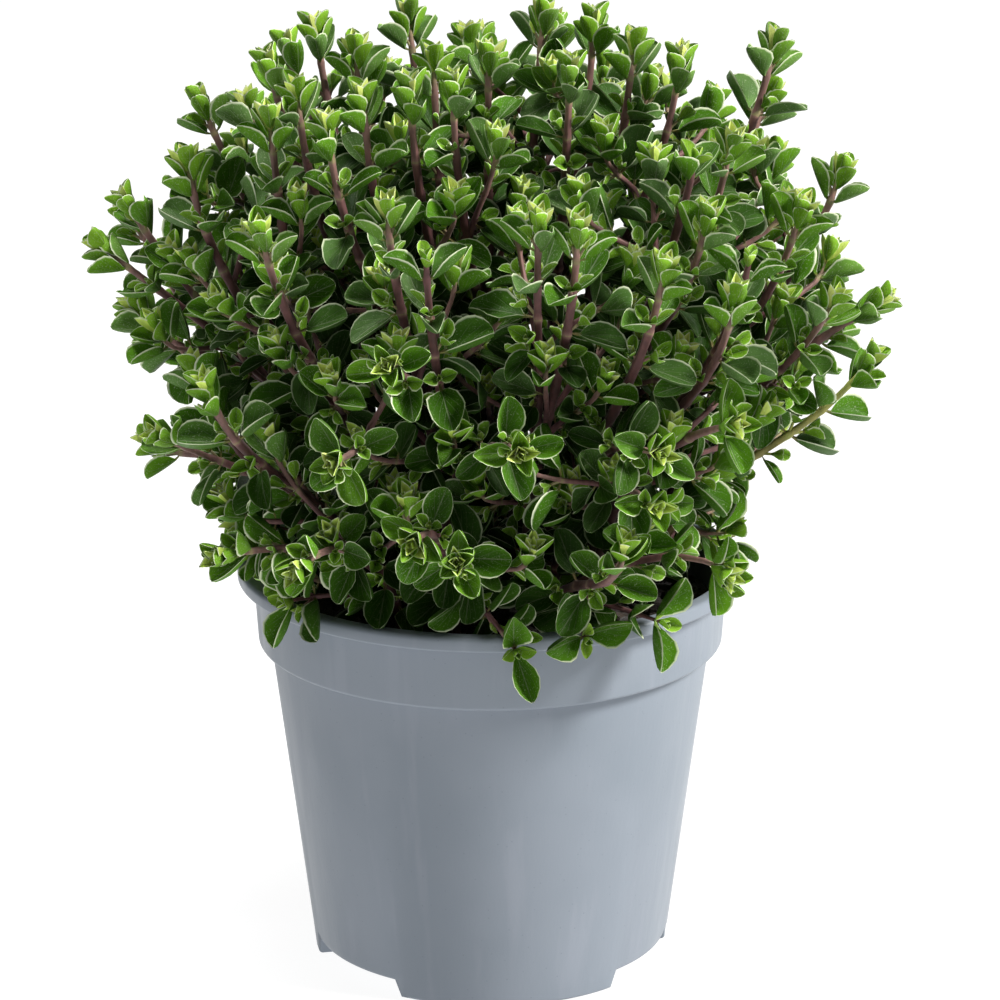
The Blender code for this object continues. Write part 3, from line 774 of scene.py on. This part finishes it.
# The bush narrows towards the pot at its front and sides: how far out a sprig's tip may stand there.
WAIST_TOP = 162.0 * MM
WAIST_BACK = 30.0 * MM
WAIST_LEVEL = 120.0 * MM
WAIST_RADIUS = 56.0 * MM
WAIST_SPREAD = 0.65
SPRIG_PAIRS = ((0.8, 38, 0.56), (5.5, 57, 0.84), (13.5, 73, 1.0), (23.0, 82, 1.04),
               (33.0, 86, 1.04))
LOW_PAIRS = ((15.5, 80, 1.06), (23.0, 74, 1.0))
RIM_PAIRS = ((0.8, 40, 0.64), (3.5, 72, 0.98), (9.0, 86, 1.06)) + LOW_PAIRS
# A sprig that hangs over the lip has its grown leaves close to its tip, and only a small head.
HANGING_PAIRS = ((2.4, 68, 0.94), (8.5, 84, 1.04)) + LOW_PAIRS
RIM_TIPS = ((4, -37), (21, -34), (-53, -25), (40, -30))
RIM_TIP_RADIUS = 71.0 * MM
BACK_RIM_TURNS = range(-20, 216, 18)
BACK_RIM_RADIUS = 63.0 * MM


def spread_tips(count, low_share, high_share):
    """Places spread evenly over a smaller dome, from below its widest level to its crown."""
    for i in range(count):
        rise = -0.36 + 1.34 * (i + 0.5) / count
        level = math.sqrt(max(0.0, 1.0 - rise * rise))
        turn = i * GOLDEN_TURN + rng.uniform(-0.1, 0.1)
        way = round_axis(level, turn, rise)
        across = abs(level / DOME_RADIUS) ** DOME_SQUARENESS
        squash = across + abs(rise / DOME_RISE) ** DOME_SQUARENESS
        share = rng.uniform(low_share, high_share) - FRONT_RECESS * max(0.0, -way.y)
        share -= CROWN_RECESS * max(0.0, rise)
        yield DOME_CENTRE + way * (squash ** (-1 / DOME_SQUARENESS) * share)


def has_place(tip):
    """Whether a sprig's tip is clear of the pot, the other tips and the bare branch."""
    if tip.z < POT_HEIGHT + 4.0 * MM or min((tip - other).length for other in tips) < TIP_SPACING:
        return False
    waist = WAIST_RADIUS + WAIST_SPREAD * (tip.z - WAIST_LEVEL)
    if tip.y < WAIST_BACK and tip.z < WAIST_TOP and abs(tip.x) > waist:
        return False
    gap = min((tip - place).length for place in bare_places)
    return gap >= BARE_BRANCH_ROOM and not beside_bare_branch(tip)


def rim_tip(across, up):
    """Where the line of sight through a place in the plan comes down just outside the pot's lip."""
    steps = [plan_mark(across, up) - AHEAD * (i * MM) for i in range(100)]
    return min(steps, key=lambda place: abs(place.xy.length - RIM_TIP_RADIUS))


def tube_tree(line, radius):
    """A three-sided tube along a line, to test what touches it."""
    way = (line[-1] - line[0]).normalized()
    side = way.orthogonal().normalized() * radius
    ring = [Matrix.Rotation(i * math.tau / 3, 3, way) @ side for i in range(3)]
    points = [place + corner for place in line for corner in ring]
    faces = [
        (3 * i + j, 3 * i + (j + 1) % 3, 3 * i + 3 + (j + 1) % 3, 3 * i + 3 + j)
        for i in range(len(line) - 1) for j in range(3)
    ]
    return BVHTree.FromPolygons(points, faces)


def mesh_tree(mesh):
    faces = [list(face.vertices) for face in mesh.polygons]
    return BVHTree.FromPolygons([point.co for point in mesh.vertices], faces)


def plant_sprig(tip, out, last_way, pairs, over_lip=False):
    """Grows a sprig to this tip, from the stem place that suits it best and leaves it room."""
    rise = 0.35 if tip.z > 1.3 * POT_HEIGHT else -0.1
    follow = 0.2
    if over_lip:
        rise, follow = -0.8, -0.1
    choices = []
    for owner, start, way in hosts:
        reach = tip - start
        if SHORTEST_SPRIG < reach.length < LONGEST_SPRIG and reach.dot(out) > 0.3 * reach.length:
            if reach.z > rise * reach.length and reach.normalized().dot(way) > follow:
                choices.append((abs(reach.length - USUAL_SPRIG), owner, start, way))
    choices.sort(key=lambda choice: choice[0])
    for _, owner, start, way in choices[:STEMS_TRIED]:
        first_way = way.lerp((tip - start).normalized(), 0.6).normalized()
        if over_lip and start.z < POT_HEIGHT + 6.0 * MM:
            first_way = Vector((0.5 * out.x, 0.5 * out.y, 0.86)).normalized()
        line = bend(start, first_way, tip, last_way, SPRIG_RUNS)
        crowded = thicket.room(line[2:]) < SPRIG_CLEARANCE
        if not crowded and not pot_tree.overlap(tube_tree(line, SPRIG_RADIUS)):
            tips.append(tip)
            thicket.add([line[2:]])
            shoots.append(Shoot(owner, line, SPRIG_RADIUS, pairs))
            return


pot_tree = mesh_tree(pot.data)
rng = random.Random(23)
# The places that a sprig can grow from: (rooted stem, place, direction of the shoot there).
hosts = [
    (shoot.plant, *place_below_tip(shoot.line, below * MM))
    for shoot in main_shoots if shoot.plant != bare_owner
    for below in range(18, int(shoot.length / MM) - 14, 5)
]
hosts = [host for host in hosts if host[1].z > SOIL_CROWN_HEIGHT + 6.0 * MM]
tips = [shoot.line[-1] for shoot in main_shoots]
rim_places = [rim_tip(across, up) for across, up in RIM_TIPS]
for turn in BACK_RIM_TURNS:
    angle = math.radians(turn + rng.uniform(-4, 4))
    level = POT_HEIGHT + rng.uniform(5.0, 13.0) * MM
    rim_places.append(round_axis(BACK_RIM_RADIUS, angle, level))
for tip in rim_places:
    hangs = tip.xy.length > LIP_RADIUS
    out = Vector((tip.x, tip.y, 0.0)).normalized()
    last_way = Vector((out.x, out.y, 0.1 if hangs else 0.4)).normalized()
    plant_sprig(tip, out, last_way, HANGING_PAIRS if hangs else RIM_PAIRS, hangs)
for layer in SPRIG_LAYERS:
    for tip in spread_tips(*layer):
        if has_place(tip):
            plant_sprig(tip, dome_slope(tip), end_way(tip, rng.uniform(0.15, 0.45)), SPRIG_PAIRS)

# Leaves: eight patterns, each a closed thin blade with the face up and the stalk at the origin, one
# unit long. Its rows of points are shaped one by one, and its edge is rolled up as on the real leaf.
LEAF_LENGTH = 14.0 * MM
BLADE_THICKNESS = 0.036
# A finished row is moved aside this far, so that no later pick meets it.
ASIDE = 2.0
# Shares of the length, and of the half width there, from the stalk to the tip.
GROWN_OUTLINE = ((0.0, 0.060), (0.17, 0.085), (0.25, 0.44), (0.36, 0.77), (0.50, 0.96), (0.65, 1.0),
                 (0.79, 0.91), (0.90, 0.70), (0.97, 0.44), (1.0, 0.18))
SPOON_OUTLINE = ((0.0, 0.10), (0.10, 0.18), (0.24, 0.56), (0.41, 0.92), (0.58, 1.0), (0.76, 0.80),
                 (0.91, 0.44), (1.0, 0.10))
SMALL_OUTLINE = ((0.0, 0.14), (0.18, 0.42), (0.42, 0.92), (0.66, 1.0), (0.88, 0.66), (1.0, 0.16))
BUD_OUTLINE = ((0.0, 0.36), (0.22, 0.82), (0.48, 1.0), (0.78, 0.60), (1.0, 0.08))
# A pattern is (outline, width, cup, roll, droop, wave, rows of faces across).
LEAF_FORMS = {
    "open": (GROWN_OUTLINE, 0.60, 0.26, 0.24, 0.03),
    "cupped": (GROWN_OUTLINE, 0.64, 0.50, 0.40, -0.12),
    "wavy": (GROWN_OUTLINE, 0.57, 0.34, 0.24, 0.10, 0.26),
    "folded": (GROWN_OUTLINE, 0.62, 0.74, 0.22, -0.04),
    "arched": (GROWN_OUTLINE, 0.58, 0.32, 0.28, 0.26),
    "spoon": (SPOON_OUTLINE, 0.61, 0.66, 0.38, -0.12),
    "small": (SMALL_OUTLINE, 0.63, 0.52, 0.24, -0.08, 0.0, 2),
    "bud": (BUD_OUTLINE, 0.50, 0.80, 0.20, -0.10, 0.0, 2),
}


def model_leaf(name, outline, width, cup, roll, droop, wave=0.0, rows=4):
    """One leaf pattern. cup lifts the whole side, roll only the edge, and droop lowers the tip."""
    bpy.ops.object.select_all(action='DESELECT')
    bpy.ops.mesh.primitive_grid_add(
        x_subdivisions=len(outline) - 1, y_subdivisions=rows, size=1.0, location=(0.5, 0.0, 0.0),
    )
    bpy.ops.object.transform_apply(location=True)
    leaf = bpy.context.object
    leaf.name = name
    rim = leaf.data.attributes.new("rim", 'FLOAT', 'POINT')
    for point in leaf.data.vertices:
        on_edge = abs(point.co.y) > 0.49 or point.co.x > 0.99
        rim.data[point.index].value = float(on_edge and point.co.x > 0.01)
    bpy.ops.object.mode_set(mode='EDIT')
    for column, (along, across) in enumerate(outline):
        start = column / (len(outline) - 1)
        pick(lambda place: abs(place.x - start) < 0.01)
        bpy.ops.transform.resize(value=(1.0, across * width, 1.0), center_override=(0.0, 0.0, 0.0))
        bpy.ops.transform.translate(value=(ASIDE + along - start, 0.0, -droop * along ** 2))
        half = across * width / 2
        sway = wave * math.sin(along * 9.0)
        for side in (-1.0, 1.0):
            edge_move = (0.0, -side * roll * half * 0.35, half * (cup + roll + side * sway))
            for share, move in ((1.0, edge_move), (0.5, (0.0, 0.0, half * cup * 0.30))):
                pick(lambda place: abs(place.x - ASIDE - along) < 0.001
                     and abs(place.y - side * half * share) < 0.1 * half)
                bpy.ops.transform.translate(value=move)
    bpy.ops.mesh.select_all(action='SELECT')
    bpy.ops.transform.translate(value=(-ASIDE, 0.0, 0.0))
    bpy.ops.object.mode_set(mode='OBJECT')
    thick = leaf.vertex_groups.new(name="thick")
    inner = [v.index for v in leaf.data.vertices if not is_open_edge(v.index, leaf.data)]
    thick.add(inner, 1.0, 'REPLACE')
    body = leaf.modifiers.new("body", 'SOLIDIFY')
    body.thickness = BLADE_THICKNESS
    body.offset = -1.0
    body.material_offset = 1
    body.use_rim = False
    body.vertex_group = thick.name
    bpy.ops.object.modifier_apply(modifier=body.name)
    bpy.ops.object.mode_set(mode='EDIT')
    bpy.ops.mesh.select_all(action='SELECT')
    bpy.ops.mesh.remove_doubles(threshold=0.0005)
    bpy.ops.object.mode_set(mode='OBJECT')
    bpy.ops.object.shade_smooth_by_angle(angle=math.radians(60.0))
    leaf.vertex_groups.clear()
    return leaf


def is_open_edge(index, mesh):
    """Whether a point lies on the sheet's outline, where fewer than four faces meet."""
    return sum(index in face.vertices for face in mesh.polygons) < 4


patterns = {kind: model_leaf(kind + "_leaf", *form) for kind, form in LEAF_FORMS.items()}
MARGIN_PALE = (0.70, 0.76, 0.54)


def leaf_finish(name, roughness, vein_share, body):
    """A leaf's skin. body gives its colour from the leaf's youth, and its edge is pale with down."""
    skin = Finish(name, roughness, Sheen_Weight=0.02, Sheen_Roughness=0.4,
                  Sheen_Tint=(0.75, 0.92, 0.55), Specular_IOR_Level=0.08)
    along = skin.add("SeparateXYZ", "X", Vector=skin.add("TexCoord", "UV"))
    side = skin.add("SeparateXYZ", "Y", Vector=skin.add("TexCoord", "UV"))
    off_rib = skin.maths('ABSOLUTE', skin.maths('SUBTRACT', side, 0.5))
    youth = skin.attribute("youth")
    frost = skin.attribute("frost")
    blotch = skin.noise(skin.place(), 330.0, 3.0)
    plain = skin.ramp(youth, body)
    bloomed = skin.mix(skin.fade(frost, 0.1, 0.9, 0.0, 0.65), plain, (0.120, 0.195, 0.085))
    colour = skin.mix(skin.fade(youth, 0.25, 0.6), bloomed, plain)
    colour = skin.mix(skin.fade(youth, 0.12, 0.0, 0.0, 0.85), colour, plain)
    light_spots = skin.fade(blotch, 0.35, 0.65, 0.0, 0.45)
    colour = skin.mix(light_spots, colour, (1.40, 1.35, 1.30), 'MULTIPLY')
    # Painted shade in the cupped blade's hollow: deeper green along its middle than at its edge and
    # tip.
    spread = skin.maths('MAXIMUM', off_rib, skin.maths('SUBTRACT', along, 0.5))
    middle = skin.fade(spread, 0.06, 0.42, 0.85, 0.0)
    colour = skin.mix(middle, colour, (0.56, 0.60, 0.45), 'MULTIPLY')
    # The midrib, and side veins that leave it forwards and fade before the edge.
    rib = skin.fade(off_rib, 0.030, 0.008)
    course = skin.maths('SUBTRACT', skin.times(along, 5.0), skin.times(off_rib, 6.5))
    near = skin.maths('ABSOLUTE', skin.maths('SUBTRACT', skin.maths('FRACT', course), 0.5))
    branch = skin.times(skin.fade(near, 0.09, 0.02), skin.fade(off_rib, 0.44, 0.25))
    veins = skin.maths('MAXIMUM', skin.times(rib, 0.9), skin.times(branch, 0.45))
    veined = skin.mix(skin.fade(youth, 0.0, 0.15, 0.2, 0.5), colour, MARGIN_PALE)
    colour = skin.mix(skin.times(veins, vein_share), colour, veined)
    # The brown stalk, the yellow heart of a young head, and the down over the face and on the edge.
    colour = skin.mix(skin.fade(along, 0.17, 0.05, 0.0, 0.65), colour, (0.26, 0.19, 0.09))
    heart = skin.times(skin.fade(youth, 0.80, 0.92), skin.fade(frost, 0.2, 0.6, 0.0, 0.32))
    colour = skin.mix(heart, colour, (0.60, 0.50, 0.25))
    most_down = skin.fade(youth, 0.0, 0.2, 0.05, 0.2)
    down = skin.fade(skin.noise(skin.place(), 2600.0, 1.0), 0.60, 0.72, 0.0, most_down)
    colour = skin.mix(down, colour, MARGIN_PALE)
    most_edge = skin.fade(youth, 0.0, 0.12, 0.35, 0.92)
    edge = skin.fade(skin.attribute("rim"), 0.77, 0.95, 0.0, most_edge)
    skin.colour(skin.mix(edge, colour, MARGIN_PALE))
    skin.relief(skin.maths('SUBTRACT', skin.times(blotch, 0.4), skin.times(veins, 0.7)), 0.25 * MM)
    return skin.material


leaf_top = leaf_finish("leaf_face", 0.50, 0.35, [
    (0.0, (0.012, 0.042, 0.001)), (0.12, (0.036, 0.112, 0.003)), (0.30, (0.080, 0.212, 0.009)),
    (0.60, (0.190, 0.385, 0.022)), (1.0, (0.630, 0.790, 0.165))])
leaf_under = leaf_finish("leaf_underside", 0.62, 0.55, [
    (0.0, (0.045, 0.082, 0.014)), (0.12, (0.115, 0.192, 0.040)), (0.30, (0.175, 0.265, 0.068)),
    (0.65, (0.310, 0.430, 0.105)), (1.0, (0.640, 0.730, 0.230))])
for pattern in patterns.values():
    pattern.data.materials.append(leaf_top)
    pattern.data.materials.append(leaf_under)
    for name in ("youth", "frost"):
        pattern.data.attributes.new(name, 'FLOAT', 'POINT')

# Growth: every shoot gets its pairs of leaves, each pair crossing the one above it, and a small
# cluster of new leaves in most armpits. A leaf that would touch another is turned, lifted or
# shortened, and one that still finds no room isn't grown.
CELL = 14.0 * MM
POT_REACH = 90.0 * MM
# A blade's middle, and how far it reaches from there, as shares of its length.
BLADE_MIDDLE = 0.55
BLADE_REACH = 0.6
GROUND_CLEARANCE = 4.0 * MM
DEEP_STEP = 9.5 * MM
TRIALS = 6
# Leaves deep inside the dome get less youth, so a darker green: partly their real age, partly painted
# shade.
SHADE_AGE = 0.30
# By the pair's level: the leaves' youth, and the patterns that they are drawn from.
YOUTH_BY_LEVEL = (0.52, 0.34, 0.22, 0.16)
KINDS_BY_LEVEL = (("spoon",), ("spoon", "cupped"), ("cupped", "folded", "open"),
                  ("open", "wavy", "cupped", "arched"))
DEEP_KINDS = ("open", "wavy", "arched", "cupped")
# Shares of the armpits of main shoots and of sprigs that hold a cluster.
MAIN_CLUSTERS = 0.92
SPRIG_CLUSTERS = 0.5


def upright_frame(base, way, out_angle, side):
    """The place of a blade that leaves the stem at out_angle from it, on this side."""
    side = (side - way * side.dot(way)).normalized()
    along = (way * math.cos(out_angle) + side * math.sin(out_angle)).normalized()
    face = (way * math.sin(out_angle) - side * math.cos(out_angle)).normalized()
    place = Matrix((along, face.cross(along), face)).transposed().to_4x4()
    place.translation = base
    return place


class Bush:
    """Everything that a new leaf stays clear of, filed by the cells of space that it reaches."""

    def __init__(self):
        self.cells = {}

    def keys(self, centre, reach):
        low = [math.floor((c - reach) / CELL) for c in centre]
        high = [math.floor((c + reach) / CELL) for c in centre]
        return itertools.product(*(range(a, b + 1) for a, b in zip(low, high)))

    def add(self, owner, tree, centre, reach):
        thing = (owner, tree, centre, reach)
        for key in self.keys(centre, reach):
            self.cells.setdefault(key, []).append(thing)

    def add_line(self, owner, line, radius):
        """A stem, as three-sided tubes about one cell long."""
        samples = line_samples(line, 5.0 * MM)
        for i in range(0, len(samples) - 1, 3):
            part = samples[i:i + 4]
            reach = (part[0] - part[-1]).length / 2 + 2 * MM
            self.add(owner, tube_tree(part, radius), (part[0] + part[-1]) / 2, reach)

    def has_room(self, relatives, tree, centre, reach):
        """Whether a blade is clear of all but its relatives: its own stem and its own pair."""
        seen = set()
        for key in self.keys(centre, reach):
            for thing in self.cells.get(key, ()):
                owner, other, middle, radius = thing
                if id(other) in seen or owner in relatives:
                    continue
                seen.add(id(other))
                if (centre - middle).length < reach + radius and tree.overlap(other):
                    return False
        return True


sketches = {
    name: ([v.co.copy() for v in leaf.data.vertices],
           [list(f.vertices) for f in leaf.data.polygons if f.material_index == 0])
    for name, leaf in patterns.items()
}
bush = Bush()
for name, tree in (("pot", pot_tree), ("peat", mesh_tree(soil.data))):
    bush.add(name, tree, Vector((0.0, 0.0, POT_HEIGHT / 2)), POT_REACH)
for shoot in shoots:
    bush.add_line(shoot.number, shoot.line, shoot.foot_radius)
grown = [[] for _ in plants]


def grow_leaf(shoot, relatives, kind, base, way, wish, youth, sink=0.0):
    """The first trial of a wanted leaf that has room, or None. A wish is (angle, side, length)."""
    width = shoot.rng.uniform(0.90, 1.14)
    frost = shoot.rng.uniform(-0.5, 0.6) + 0.5 * (base.z - DOME_CENTRE.z) / DOME_RISE
    for trial in range(TRIALS):
        angle, side, length = wish
        if trial:
            angle += math.radians(shoot.rng.uniform(-24, 16))
            side = Matrix.Rotation(math.radians(shoot.rng.uniform(-36, 36)), 3, way) @ side
            length *= shoot.rng.uniform(0.70, 1.0)
        place = upright_frame(base + side * sink, way, angle, side)
        place = place @ Matrix.Diagonal((length, length * width, length, 1.0))
        centre = place @ Vector((BLADE_MIDDLE, 0.0, 0.0))
        if shoot.plant != bare_owner and beside_bare_branch(centre):
            continue
        points, faces = sketches[kind]
        tree = BVHTree.FromPolygons([place @ point for point in points], faces)
        if bush.has_room(relatives, tree, centre, BLADE_REACH * length):
            bush.add(relatives[-1], tree, centre, BLADE_REACH * length)
            grown[shoot.plant].append((kind, place, youth, frost))
            return place
    return None


def grow_pair(shoot, level, pair, sides, youth, kinds):
    """Two leaves across from each other at one node. sides are their directions off the stem."""
    below, angle, share = pair
    base, way = place_below_tip(shoot.line, below)
    if base.z < SOIL_CROWN_HEIGHT + GROUND_CLEARANCE and base.xy.length < soil_edge:
        return
    if below > 4.0 * MM:
        shoot.nodes.append(below)
    for side, jitter, size in sides:
        wish = (math.radians(angle + jitter), side, LEAF_LENGTH * share * size)
        # Painted shade, together with real age: the deeper inside the dome, the less youth and the
        # darker the leaf.
        depth_shade_and_age = SHADE_AGE * max(0.0, 0.85 - dome_level(base)) if level else 0.0
        fresh = min(1.0, max(0.0, youth - depth_shade_and_age + shoot.rng.uniform(-0.06, 0.06)))
        kind = shoot.rng.choice(kinds)
        sink = 0.6 * shoot.thickness(below)
        relatives = [shoot.number, (shoot.number, level)]
        place = grow_leaf(shoot, relatives, kind, base, way, wish, fresh, sink)
        if place is not None and level:
            armpits.append((shoot, base, way, place.col[0].xyz.normalized(), below))


def crossing(sides, way, rng):
    """A pair of sides that crosses the given pair."""
    side = Matrix.Rotation(math.pi / 2 + rng.uniform(-0.2, 0.2), 3, way) @ sides[0][0]
    return [(across, rng.uniform(-6, 6), rng.uniform(0.9, 1.06)) for across in (side, -side)]


armpits = []
for level in range(max(len(shoot.pairs) for shoot in shoots)):
    youth = YOUTH_BY_LEVEL[min(level, len(YOUTH_BY_LEVEL) - 1)]
    kinds = KINDS_BY_LEVEL[min(level, len(KINDS_BY_LEVEL) - 1)]
    for shoot in shoots:
        if level < len(shoot.pairs):
            pair = shoot.pairs[level]
            if pair[0] < shoot.length - 5.0 * MM or level == 0:
                grow_pair(shoot, level, pair, shoot.sides[level], 0.2 if shoot.cut else youth, kinds)
                shoot.lowest = level

# The bare branch has single small round leaves below its grown pairs, on the outer side.
for shoot in main_shoots:
    if shoot.plant == bare_owner:
        for below, share in ((37, 0.62), (49, 0.50), (60, 0.46)):
            sides = [(Vector((0.7, -0.5, -0.6)), 0, 1.0)]
            grow_pair(shoot, 4, (below * MM, 84, share), sides, 0.3, ("open",))

# The bud at each tip: small pairs that stand nearly upright inside the first pair, and young leaves
# between the first two pairs. A cut shoot has only two small pairs there.
for shoot in shoots:
    way = (shoot.line[-1] - shoot.line[-2]).normalized()
    sides = shoot.sides[0]
    youth, kinds = 0.94, ("bud",)
    small_pairs = ((1.4, 30, 0.58), (0.5, 21, 0.50), (0.3, 14, 0.40), (0.0, 8, 0.28))
    if shoot.cut:
        youth, kinds = 0.66, ("spoon",)
        small_pairs = ((2.2, 52, 0.44), (1.4, 20, 0.28))
    for below, angle, share in small_pairs:
        sides = crossing(sides, way, shoot.rng)
        grow_pair(shoot, 0, (below * MM, angle, share), sides, youth, kinds)
    if not shoot.cut:
        quarter = Matrix.Rotation(math.pi / 4, 3, way)
        sides = [(quarter @ side, 0, 1.0) for side, _, _ in sides]
        grow_pair(shoot, 0, (3.6 * MM, 40, 0.62), sides, 0.46, ("spoon",))

# Deeper pairs, down to the peat: older and darker leaves, which the lowest nodes have shed.
for shoot in main_shoots:
    if shoot.plant == bare_owner:
        continue
    below = shoot.pairs[shoot.lowest][0] + DEEP_STEP
    sides = shoot.sides[shoot.lowest]
    level = len(shoot.pairs)
    while below < shoot.length - 9.0 * MM:
        _, way = place_below_tip(shoot.line, below)
        sides = crossing(sides, way, shoot.rng)
        share = 1.0 - 0.12 * min(1.0, (below - 40 * MM) / (60 * MM))
        if shoot.rng.random() > (below - 60 * MM) / (110 * MM):
            grow_pair(shoot, level, (below, 84, 1.06 * share), sides, 0.13, DEEP_KINDS)
        below += DEEP_STEP * shoot.rng.uniform(0.9, 1.15)
        level += 1

# Armpit clusters: a tiny shoot between leaf and stem, with one or two pairs of its own.
twigs = []
for shoot, base, way, along, below in armpits:
    rng = shoot.rng
    if rng.random() > (MAIN_CLUSTERS if shoot.number < len(main_shoots) else SPRIG_CLUSTERS):
        continue
    if below < 10.0 * MM:
        growth = rng.uniform(0.45, 0.75)
    else:
        growth = (0.3 + 0.7 * min(1.0, below / (45.0 * MM))) * rng.uniform(0.45, 1.0)
    twig_way = (way * 0.80 + along * 0.60).normalized()
    tip = base + twig_way * ((1.2 + 4.4 * growth) * MM)
    lateral = way.cross(along).normalized()
    size = 0.27 + 0.29 * growth
    relatives = [shoot.number, ("twig", len(twigs))]
    outer = (lateral, (34, 56), rng.uniform(0.9, 1.1), "spoon" if size > 0.47 else "small", 0.5)
    inner = (twig_way.cross(lateral), (12, 24), 0.62, "bud", 0.78)
    made = 0
    for across, angles, share, kind, youth in (outer, inner):
        for side in (across, -across):
            wish = (math.radians(rng.uniform(*angles)), side, LEAF_LENGTH * size * share)
            made += grow_leaf(shoot, relatives, kind, tip, twig_way, wish, youth) is not None
    if made:
        twigs.append((shoot.plant, [base, tip]))

# Joining: stems and twigs are swept with one square section, and joined with their leaves into one
# piece for each rooted stem. The bark's colour comes from the youth of each place on the stem.
bpy.ops.curve.primitive_bezier_circle_add(radius=1.0)
section = bpy.context.object
section.name = "square_section"
# Half the section's width across its flats, where 1 is the stem's radius.
FLAT_HALF = 0.9
corners = [(1.0, 0.62), (0.62, 1.0), (-0.62, 1.0), (-1.0, 0.62)]
corners += [(-x, -y) for x, y in corners]
section.data.splines.clear()
outline = section.data.splines.new('POLY')
outline.points.add(len(corners) - 1)
outline.use_cyclic_u = True
for point, (x, y) in zip(outline.points, corners):
    point.co = (x * FLAT_HALF, y * FLAT_HALF, 0.0, 1.0)

bark = Finish("marjoram_stem", 0.55, Sheen_Weight=0.10, Sheen_Roughness=0.5,
              Sheen_Tint=(0.95, 0.86, 0.88), Specular_IOR_Level=0.3)
streak = bark.noise(bark.place((1.0, 1.0, 0.25)), 900.0, 3.0)
skin = bark.ramp(bark.attribute("youth"), [
    (0.0, (0.032, 0.017, 0.013)), (0.30, (0.066, 0.026, 0.026)), (0.60, (0.105, 0.046, 0.047)),
    (0.85, (0.190, 0.110, 0.095)), (1.0, (0.220, 0.250, 0.090))])
reed = bark.ramp(bark.attribute("youth"), [
    (0.0, (0.200, 0.140, 0.060)), (0.9, (0.260, 0.290, 0.070))])
skin = bark.mix(bark.attribute("straw"), skin, reed)
bark.colour(bark.mix(bark.fade(streak, 0.35, 0.7, 0.0, 0.6), skin, (1.7, 1.55, 1.5), 'MULTIPLY'))
bark.relief(streak, 0.12 * MM)


def spline_points(shoot):
    """Distances below the tip for the stem's rings: at both sides of each node and between."""
    marks = {0.0, 0.8 * MM, 2.2 * MM, shoot.length}
    for node in shoot.nodes:
        marks |= {node - 1.6 * MM, node, node + 1.6 * MM}
    marks |= {i * 6.0 * MM for i in range(1, int(shoot.length / (6.0 * MM)))}
    ordered = sorted(mark for mark in marks if 0.0 <= mark <= shoot.length)
    kept = [ordered[0]]
    for mark in ordered[1:]:
        if mark - kept[-1] > 0.7 * MM:
            kept.append(mark)
    return kept[::-1]


def draw_stems(name, owner):
    """One mesh of all the plant's stems and twigs, with the youth of each place on them."""
    curve = bpy.data.curves.new(name, 'CURVE')
    curve.dimensions = '3D'
    curve.bevel_mode = 'OBJECT'
    curve.bevel_object = section
    curve.use_fill_caps = True
    ages = []
    for shoot in shoots:
        if shoot.plant == owner:
            marks = spline_points(shoot)
            places = [place_below_tip(shoot.line, mark)[0] for mark in marks]
            draw_spline(curve, places, [shoot.thickness(mark) for mark in marks])
            top = 0.62 if shoot.cut else 1.0
            ages += [(place, top * (1.0 - min(1.0, mark / (75.0 * MM)) ** 0.7))
                     for place, mark in zip(places, marks)]
    for plant, places in twigs:
        if plant == owner:
            draw_spline(curve, places, [0.42 * MM, 0.34 * MM])
            ages += [(place, 0.93) for place in places]
    stems = bpy.data.objects.new(name, curve)
    bpy.context.scene.collection.objects.link(stems)
    hold(stems)
    bpy.ops.object.convert(target='MESH')
    stems = bpy.context.object
    bpy.ops.object.mode_set(mode='EDIT')
    bpy.ops.mesh.select_all(action='SELECT')
    bpy.ops.mesh.remove_doubles(threshold=0.01 * MM)
    finish_modelling(50.0)
    nearest = KDTree(len(ages))
    for i, (place, _) in enumerate(ages):
        nearest.insert(place, i)
    nearest.balance()
    straw = stems.data.attributes.new("straw", 'FLOAT', 'POINT')
    straw.data.foreach_set("value", [float(owner == bare_owner)] * len(stems.data.vertices))
    youth = stems.data.attributes.new("youth", 'FLOAT', 'POINT')
    for point in stems.data.vertices:
        youth.data[point.index].value = ages[nearest.find(point.co)[1]][1]
    for material in (leaf_top, leaf_under, bark.material):
        stems.data.materials.append(material)
    stems.data.polygons.foreach_set("material_index", [2] * len(stems.data.polygons))
    return stems


def draw_spline(curve, places, radii):
    spline = curve.splines.new('POLY')
    spline.points.add(len(places) - 1)
    for point, place, radius in zip(spline.points, places, radii):
        point.co = (*place, 1.0)
        point.radius = radius


for owner in range(len(plants)):
    node = f"leafy_stem_{owner + 1:02d}"
    piece = draw_stems("marjoram_stem_" + node[-2:], owner)
    leaves = []
    for kind, place, youth, frost in grown[owner]:
        leaf = lay_copy(patterns[kind], place, "leaf")
        for name, value in (("youth", youth), ("frost", frost)):
            values = [value] * len(leaf.data.vertices)
            leaf.data.attributes[name].data.foreach_set("value", values)
        leaves.append(leaf)
    join_into(piece, leaves)
    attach(piece, "root")
    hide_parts(node)
for spare in [*patterns.values(), section]:
    bpy.data.objects.remove(spare)
